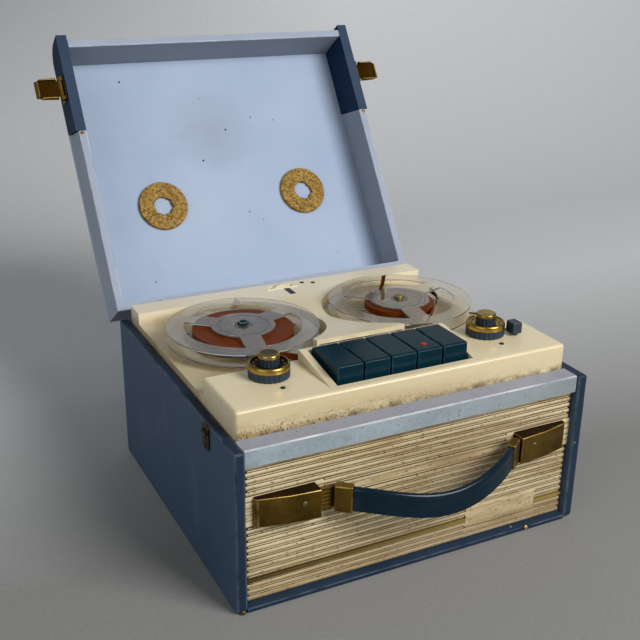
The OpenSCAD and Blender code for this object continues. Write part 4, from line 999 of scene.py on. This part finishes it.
def makeCorkRings():
    bm = newMesh()
    ring = corkRings
    hole, outer, edge, rows = ring["hole"], ring["outer"], ring["edge"], ring["rows"]
    low, top = ring["floor"] - ring["thick"], ring["floor"]
    profile = [(hole, top), (hole, low + edge), (hole + edge, low)]
    profile += [(hole + edge + (outer - hole - 2 * edge) * k / rows, low) for k in range(1, rows)]
    profile += [(outer - edge, low), (outer, low + edge), (outer, top)]
    for side in (-1, 1):
        made = lathe(bm, profile, (0, 0, 0), ring["steps"])
        for v in made:  # torn round the hole, uneven elsewhere
            flat = Vector((v.co.x, v.co.y, 0))
            away = flat.length
            torn = noise.noise(flat.normalized() * 2.1 + Vector((side * 3.0, 0, 0)))
            inner = max(0.0, 1 - (away - hole) / ring["tornWidth"])
            away += inner * (ring["tear"] * torn - ring["tearIn"])
            away -= (1 - inner) * ring["uneven"] * abs(noise.noise(flat * 0.6))
            v.co.x, v.co.y = flat.normalized().x * away, flat.normalized().y * away
            if v.co.z < top - 0.1:
                v.co.z += ring["uneven"] * (noise.noise(v.co * 0.9 + Vector((side * 9.0, 0, 0))) + 0.5)
        bmesh.ops.translate(bm, vec=(side * ring["x"], ring["y"], 0), verts=made)
    openLid(bm)
    piece = makePiece("corkRings", bm, cork, "lid", ["reel_pads"], 60)


lidTacks = {"pins": [(-105.4, -117.9), (9.0, -50.1), (-27.0, -14.5)], "pinRadius": 1.2, "pinHeight": 0.5,
            "rim": (171.0, -41.0, 152.4), "rimRadius": 2.3, "rimHeight": 0.3}


def makeLidTacks():
    t = lidTacks
    bm = newMesh()
    for x, y in t["pins"]:
        addDome(bm, (x, y, corkRings["floor"]), t["pinRadius"], t["pinHeight"], (0, 0, -1))
    openLid(bm)
    makePiece("lidPins", bm, blackPlastic, "lid")
    bm = newMesh()
    x, y, z = t["rim"]
    for side in (-1, 1):  # a flat tack in the rim below each cheek
        addDome(bm, (side * x, y, z), t["rimRadius"], t["rimHeight"], (0, 0, -1))
    openLid(bm)
    makePiece("cheekTacks", bm, agedBrass, "lid")


makeCorkRings()
makeLidTacks()
print("lid made")


# the deck

deckFacts = {"platform": 176.0, "outerEdge": 3.2, "smallEdge": 0.9, "underside": 156.0}


def makeDeck():
    low, high = nodeBox("deck_cover")
    bm = cadCopy("deck_cover")

    def outer(e):  # the platform's outside edges, which a hand feels
        a, b = (v.co for v in e.verts)
        onTop = abs(a.z - deckFacts["platform"]) < 0.05 and abs(b.z - deckFacts["platform"]) < 0.05
        edgeOn = (max(a.y, b.y) < low.y + 0.05 or min(a.x, b.x) > high.x - 0.05 or max(a.x, b.x) < low.x + 0.05)
        upright = abs(a.z - b.z) > 5 and max(a.y, b.y) < low.y + 0.05 and abs(abs(a.x) - high.x) < 0.05
        return (onTop and edgeOn) or upright

    roundEdges(bm, sharpEdges(bm, 40, outer), deckFacts["outerEdge"], 5)

    def topSide(e):
        return min(v.co.z for v in e.verts) > deckFacts["underside"]

    roundEdges(bm, sharpEdges(bm, 40, topSide), deckFacts["smallEdge"], 3)
    makePiece("deckCover", bm, deckIvory, "case", ["deck_cover"])


makeDeck()
softNode("head_cover", deckIvory, "case", 1.1, 3, 40)

indexDots = {"places": [(-111.0, -108.6), (111.0, -108.6)], "radius": 2.3, "height": 1.4}


def makeIndexDots():
    bm = newMesh()
    for x, y in indexDots["places"]:
        addDome(bm, (x, y, deckFacts["platform"]), indexDots["radius"], indexDots["height"], (0, 0, 1))
    makePiece("indexDots", bm, knobBlue, "case")


makeIndexDots()
print("deck made")


# keys

keyFacts = {"pitch": 26.4, "width": 25.0, "front": -119, "back": -68, "top": 190.5, "edge": 1.3, "frontEdge": 2.4,
            "backEdge": 4.0, "upper": 185, "dotY": -107.0, "dotRadius": 3.0, "dotHeight": 0.9}
keyFacts["profile"] = [(keyFacts["front"], 163), (-72, 163), (keyFacts["back"], 170), (keyFacts["back"], 190),
                       (keyFacts["front"], keyFacts["top"])]


def makeKey(index, node, marked=False):
    k = keyFacts
    x, half = (index - 2) * k["pitch"], k["width"] / 2
    bm = newMesh()
    addPrism(bm, [(x - half, y, z) for y, z in k["profile"]], (2 * half, 0, 0))

    def across(y):  # the upper edge at this end of the key
        return [e for e in bm.edges if all(abs(v.co.y - y) < 0.1 and v.co.z > k["upper"] for v in e.verts)]

    roundEdges(bm, across(k["back"]), k["backEdge"], 5)
    roundEdges(bm, across(k["front"]), k["frontEdge"], 5)
    roundEdges(bm, sharpEdges(bm, 35), k["edge"], 4)
    if marked:
        dot = addDome(bm, (x, k["dotY"], k["top"] - 0.15), k["dotRadius"], k["dotHeight"], (0, 0, 1))
        paintFaces(dot, 1)
    makePiece(pieceName(node), bm, [keyTeal, redDot], node, [node])


for i, keyName in enumerate(("key_rewind", "key_stop", "key_play", "key_record", "key_forward")):
    makeKey(i, keyName, keyName == "key_record")
print("keys made")


# knobs and selector

knobFacts = {"x": 111.5, "y": -80.9, "low": 176.5, "ringR": 18.2, "ringGrip": 7.4, "flutes": 26, "shaft": 6.0,
             "innerLow": 186.6, "innerR": 9.3, "innerH": 10.8, "innerGrip": 7.2, "innerFlutes": 18, "innerShaft": 4.0,
             "shaftLow": 162.0, "studs": 12, "sweep": 300.0, "studOut": 13.4, "studUp": 10.5, "studR": 0.95,
             "studH": 0.7, "pointerTurn": 140.0, "pointerOut": 9.0, "pointerUp": 8.6, "pointerR": 0.9,
             "pointerLong": 7.0}


def paintTop(verts, centre, reach, least, index):  # the upward faces near the knob's middle
    for f in facesOf(verts):
        if (f.calc_center_median() - Vector(centre)).xy.length < reach and f.normal.z > least:
            f.material_index = index


def makeOuterKnob(node, side):
    k = knobFacts
    bm = newMesh()
    centre = (side * k["x"], k["y"], k["low"])
    r, grip = k["ringR"], k["ringGrip"]
    addFluted(bm, centre, r, 1.0, grip, k["flutes"])
    rim = [(9.9, grip), (r, grip), (r + 0.1, grip + 0.4), (r + 0.1, 10.6), (r - 0.1, 11.6), (r - 0.7, 12.5),
           (r - 1.5, 12.8), (r - 2.1, 12.5), (r - 2.6, 11.4), (11.4, 9.9), (9.9, 9.7)]
    gold = lathe(bm, rim, centre)
    paintFaces(gold, 1)
    paintTop(gold, centre, r - 2.2, 0.3, 3)  # the dish inside the rim
    for step in range(k["studs"]):  # generic scale: one stud for each step of the dial
        a = radians(-k["sweep"] / 2 + step * k["sweep"] / (k["studs"] - 1) - 90)
        spot = Vector(centre) + Vector((k["studOut"] * cos(a), k["studOut"] * sin(a), k["studUp"]))
        paintFaces(addDome(bm, spot, k["studR"], k["studH"], (0, 0, 1)), 2)
    addRod(bm, (centre[0], centre[1], k["shaftLow"]), k["shaft"], k["low"] - k["shaftLow"])
    dish = nearBlackBrass if side < 0 else knobGold
    stud = knobGold if side < 0 else blackPlastic
    makePiece(pieceName(node), bm, [knobBlue, knobGold, stud, dish], node, [node])


def makeInnerKnob(node, side):
    k = knobFacts
    bm = newMesh()
    centre = (side * k["x"], k["y"], k["innerLow"])
    r, grip, top = k["innerR"], k["innerGrip"], k["innerH"]
    addFluted(bm, centre, r - 0.2, 0.9, grip, k["innerFlutes"])
    cap = [(0, grip), (r, grip), (r + 0.1, grip + 0.4), (r, top - 1.3), (r - 0.4, top - 0.6), (r - 1.1, top - 0.2),
           (r - 1.8, top - 0.2), (r - 2.2, top - 0.5), (4.6, top - 0.45), (4.2, top - 0.65), (3.8, top - 0.45),
           (0, top - 0.4)]
    gold = lathe(bm, cap, centre)
    paintFaces(gold, 1)
    paintTop(gold, centre, r - 2.0, 0.5, 2)
    if side > 0:  # a dark pointer stands out of the right-hand one
        a = radians(k["pointerTurn"])
        pointer = addRod(bm, (0, 0, 0), k["pointerR"], k["pointerLong"], "X", 16)
        bmesh.ops.rotate(bm, matrix=Matrix.Rotation(a, 3, "Z"), verts=pointer)
        root = Vector((k["pointerOut"] * cos(a), k["pointerOut"] * sin(a), k["pointerUp"]))
        bmesh.ops.translate(bm, vec=Vector(centre) + root, verts=pointer)
        paintFaces(pointer, 0)
    addRod(bm, (centre[0], centre[1], k["shaftLow"]), k["innerShaft"], k["innerLow"] - k["shaftLow"])
    face = knobBronze if side < 0 else knobGold
    makePiece(pieceName(node), bm, [knobBlue, knobGold, face], node, [node])


for sideName, sideSign in (("left", -1), ("right", 1)):
    makeOuterKnob(sideName + "_outer_knob", sideSign)
    makeInnerKnob(sideName + "_inner_knob", sideSign)
softNode("selector_lever", knobBlue, "selector", 2.2, 4, 35,
         lambda e: min(v.co.z for v in e.verts) > deckFacts["platform"] + 1.9)
print("knobs made")


# reels, packs and tape

reelFacts = {"x": 87.0, "y": 35.4, "low": 163.5, "high": 13.0, "edge": 0.4, "left": 49.0, "right": 36.0, "hub": 26.1,
             "tape": 170.0, "width": 6.2, "turns": 22, "uneven": 0.22}


def makeReel(name, node):
    bm = cadCopy(node)
    roundEdges(bm, sharpEdges(bm, 45), reelFacts["edge"], 2)
    makePiece(name, bm, clearPlastic, node, [node], 35)


def makePack(name, node, body, side, radius):
    low, high = reelFacts["tape"] - reelFacts["width"] / 2, reelFacts["tape"] + reelFacts["width"] / 2
    hub, turns = reelFacts["hub"], reelFacts["turns"]
    bm = newMesh()
    profile = [(hub, low), (hub, high)]
    draw = random.Random(5 + side)
    for k in range(1, turns):  # turns of tape lie a little unevenly
        profile.append((hub + (radius - hub) * k / turns, high - draw.uniform(0.0, reelFacts["uneven"])))
    profile += [(radius, high - 0.1), (radius, low)]
    lathe(bm, profile, (side * reelFacts["x"], reelFacts["y"], 0), 96)
    makePiece(name, bm, tapeOxide, body, [node], 50)


makeReel("reelLeft", "reel_left")
makeReel("reelRight", "reel_right")
makePack("tapePackLeft", "tape_pack_left", "reel_left", -1, reelFacts["left"])
makePack("tapePackRight", "tape_pack_right", "reel_right", 1, reelFacts["right"])


def addRibbon(bm, points, width, thick=0.18):  # a short strip of tape standing on edge
    rows = [(bm.verts.new(p), bm.verts.new(Vector(p) + Vector(width))) for p in points]
    faces = [bm.faces.new((a[0], b[0], b[1], a[1])) for a, b in zip(rows, rows[1:])]
    bmesh.ops.solidify(bm, geom=faces, thickness=thick)


looseEnds = {"curlAt": (-5.0, 35.0, 173.0), "curlHigh": 17.0, "curlSway": 2.5, "curlWidth": (6.0, 1.6, 0.3),
             "curlSteps": 12, "tailFrom": -30, "tailTurn": 50, "tailRadius": 37, "tailOut": 14, "tailZ": 169.0,
             "tailWidth": (0, 0, 5.2), "tailSteps": 10}


def makeLooseEnds():
    e = looseEnds
    bm = newMesh()
    centre = Vector((reelFacts["x"], reelFacts["y"], 0))
    foot = centre + Vector(e["curlAt"])
    curl = []
    for step in range(e["curlSteps"] + 1):  # a tail that stands up through the flange
        t = step / e["curlSteps"]
        curl.append(foot + Vector((e["curlSway"] * sin(t * 2.2), -2 * t * t, e["curlHigh"] * t)))
    addRibbon(bm, curl, e["curlWidth"])
    tail = []
    for step in range(e["tailSteps"] + 1):  # and one that leaves the pack sideways
        t = step / e["tailSteps"]
        a, r = radians(e["tailFrom"] + e["tailTurn"] * t), e["tailRadius"] + e["tailOut"] * t
        tail.append(centre + Vector((r * cos(a), r * sin(a), e["tailZ"])))
    addRibbon(bm, tail, e["tailWidth"])
    makePiece("looseTapeEnds", bm, tapeOxide, "reel_right")


spindleCap = {"clear": 0.15, "radius": 5.6, "flute": 1.6, "high": 2.4, "wings": 3, "taper": 0.8,
              "crown": [(0, 2.4), (3.6, 2.4), (3.3, 3.4), (2.2, 3.9), (0, 4.0)]}


def makeSpindleCap(name, body, side, material):
    c = spindleCap
    bm = newMesh()
    top = reelFacts["low"] + reelFacts["high"]
    centre = (side * reelFacts["x"], reelFacts["y"], top + c["clear"])
    addFluted(bm, centre, c["radius"], c["flute"], c["high"], c["wings"], c["taper"])
    lathe(bm, c["crown"], centre, 32)
    makePiece(name, bm, material, body)


makeLooseEnds()
makeSpindleCap("spindleCapLeft", "reel_left", -1, keyTeal)
makeSpindleCap("spindleCapRight", "reel_right", 1, knobGold)
for nodeName, body in (("reel_table_left", "reel_left"), ("reel_table_right", "reel_right")):
    softNode(nodeName, plainSteel, body, 0.5, 2)
print("reels made")


# small fittings that show: counter, hinges, inlet, tape path

softNode("hinge_case_leaves", agedBrass, "case", 0.3, 2)
softNode("hinge_lid_leaves", agedBrass, "lid", 0.3, 2)
softNode("mains_inlet", blackPlastic, "case", 0.5, 2)
softNode("tape_heads", plainSteel, "case", 0.5, 2)
softNode("tape_guides", plainSteel, "case", 0.3, 2)

counterWheel = {"x": -1.0, "y": 135.0, "z": 157.4, "radius": 14.3, "width": 5.0, "flutes": 40, "fluteDeep": 0.6,
                "axleY": 130.0, "axle": 1.5, "axleLong": 6.0}


def makeCounterWheel():
    w = counterWheel
    bm = newMesh()
    addFluted(bm, (0, 0, 0), w["radius"], w["fluteDeep"], w["width"], w["flutes"])
    bmesh.ops.rotate(bm, matrix=Matrix.Rotation(-pi / 2, 3, "X"), verts=bm.verts)
    bmesh.ops.translate(bm, vec=(w["x"], w["y"], w["z"]), verts=bm.verts)
    addRod(bm, (w["x"], w["axleY"], w["z"]), w["axle"], w["axleLong"], "Y", 20)
    makePiece("counterWheel", bm, deckIvory, "counter_wheel", ["counter_wheel"])


makeCounterWheel()

counterSurround = {"top": 169.0, "ledge": [(-20.5, 130.2), (16.5, 132.6)], "ledgeHeights": (-0.5, 0.8),
                   "ledgeEdge": 0.35, "pane": [(-1.2, 111.3), (5.2, 129.8)], "paneHeights": (-2.8, -0.4),
                   "paneEdge": 0.3, "screws": [(36.0, 134.0), (25.0, 139.0)], "screwRadius": 2.4, "screwHeight": 0.9}


def addInset(bm, part):  # a flat block that is let into the deck behind the reels
    c = counterSurround
    low, high = ((x, y, c["top"] + up) for (x, y), up in zip(c[part], c[part + "Heights"]))
    addSoftBox(bm, low, high, c[part + "Edge"], 2)


def makeCounterSurround():  # a ledge in front of the wheel's slot, a dark pane in the window, two screws
    c = counterSurround
    bm = newMesh()
    addInset(bm, "ledge")
    makePiece("counterLedge", bm, deckIvory, "case")
    bm = newMesh()
    for x, y in c["screws"]:
        addDome(bm, (x, y, c["top"]), c["screwRadius"], c["screwHeight"], (0, 0, 1))
    addInset(bm, "pane")
    makePiece("deckScrews", bm, blackPlastic, "case")


makeCounterSurround()


def dressNode(node, material):
    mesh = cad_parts[node].data
    mesh.materials.clear()
    mesh.materials.append(material)


inside = {
    "counter_unit": blackPlastic, "hinge_pins": trimGold, "deck_rails": bareWood, "chassis_plate": sheetAluminium,
    "shaft_bearings": trimGold, "motor": motorPaint, "motor_pulley": knobGold, "drive_belt": darkRubber,
    "capstan_flywheel": plainSteel, "pinch_arm": plainSteel, "pinch_roller": darkRubber, "tape_run": tapeOxide,
    "transformer": motorPaint, "amplifier_chassis": sheetAluminium, "valves": clearPlastic,
    "loudspeaker": motorPaint, "control_pots": sheetAluminium, "key_axle": plainSteel,
}
for nodeName, material in inside.items():
    dressNode(nodeName, material)
print("fittings made")


# floor, light and world

studio = {
    "floorSize": 6.0, "backY": 1.5, "bend": 0.7, "bendSteps": 12, "wallTop": 3.0,
    # painted light and shade on the paper: the floor pales behind the case, and the wall is painted in shadow on the
    # left and in light on the right
    "near": (0.250, 0.247, 0.236, 1), "far": (0.660, 0.668, 0.670, 1), "depth": (-0.05, 0.45),
    "wallLeft": (0.260, 0.260, 0.260, 1), "wallRight": (0.780, 0.795, 0.800, 1), "across": (-0.15, 0.75),
    "wallFrom": (0.02, 0.55),
    "lampTarget": (0, 0, 0.15),
    "sky": (0.80, 0.83, 0.88, 1), "skyStrength": 0.23,
}


def makeFloor():
    material, tree, shader, place = startMaterial("studioPaper", Roughness=0.9, Specular_IOR_Level=0.2)
    axes = axesOf(tree, place)
    # painted light and shade: colour runs from dark to pale with distance behind the case and across the wall
    base = mixColour(tree, remap(tree, axes[1], *studio["depth"]), studio["near"], studio["far"])
    wall = mixColour(tree, remap(tree, axes[0], *studio["across"]), studio["wallLeft"], studio["wallRight"])
    base = mixColour(tree, remap(tree, axes[2], *studio["wallFrom"]), base, wall)
    grain = remap(tree, noiseOf(tree, place, 260.0, 2.0), 0.3, 0.7, 0.94, 1.03)
    shade = addNode(tree, "CombineColor", {0: grain, 1: grain, 2: grain}).outputs[0]
    colourInto(tree, shader, mixColour(tree, 1.0, base, shade, "MULTIPLY"))
    bumpInto(tree, shader, noiseOf(tree, place, 300.0, 2.0), 0.1, 0.0008)
    bm = bmesh.new()
    half, back, bend = studio["floorSize"] / 2, studio["backY"], studio["bend"]
    edge = [bm.edges.new([bm.verts.new((x, -half, 0)) for x in (-half, half)])]
    path = [(back - bend, 0)]
    for step in range(1, studio["bendSteps"] + 1):  # the floor bends up into the wall
        a = pi / 2 * step / studio["bendSteps"]
        path.append((back - bend + bend * sin(a), bend * (1 - cos(a))))
    path.append((back, studio["wallTop"]))
    for y, z in path:
        made = bmesh.ops.extrude_edge_only(bm, edges=edge)["geom"]
        edge = edgesIn(made)
        for v in vertsIn(made):
            v.co.y, v.co.z = y, z
    bmesh.ops.recalc_face_normals(bm, faces=bm.faces[:])
    mesh = bpy.data.meshes.new("studioFloor")
    bm.to_mesh(mesh)
    bm.free()
    mesh.shade_smooth()
    mesh.materials.append(material)
    floor = bpy.data.objects.new("studioFloor", mesh)
    scene.collection.objects.link(floor)


def makeLamp(name, place, size, watts, colour=(1, 1, 1)):
    lamp = bpy.data.lights.new(name, "AREA")
    lamp.shape = "RECTANGLE"
    lamp.size = lamp.size_y = size
    lamp.energy = watts
    lamp.color = colour
    holder = bpy.data.objects.new(name, lamp)
    aim = Vector(studio["lampTarget"]) - Vector(place)
    holder.matrix_world = Matrix.Translation(place) @ aim.to_track_quat("-Z", "Y").to_matrix().to_4x4()
    scene.collection.objects.link(holder)


def makeSky():
    world = bpy.data.worlds.new("studioWorld")
    world.use_nodes = True
    sky = world.node_tree.nodes["Background"].inputs
    sky["Color"].default_value = studio["sky"]
    sky["Strength"].default_value = studio["skyStrength"]
    scene.world = world


makeFloor()
makeLamp("keyLamp", (1.0, -2.0, 1.7), 1.3, 70)
makeLamp("fillLamp", (-1.8, -1.0, 1.0), 1.8, 12, (0.95, 0.98, 1.0))
makeSky()
print("studio made")

bpy.context.view_layer.update()
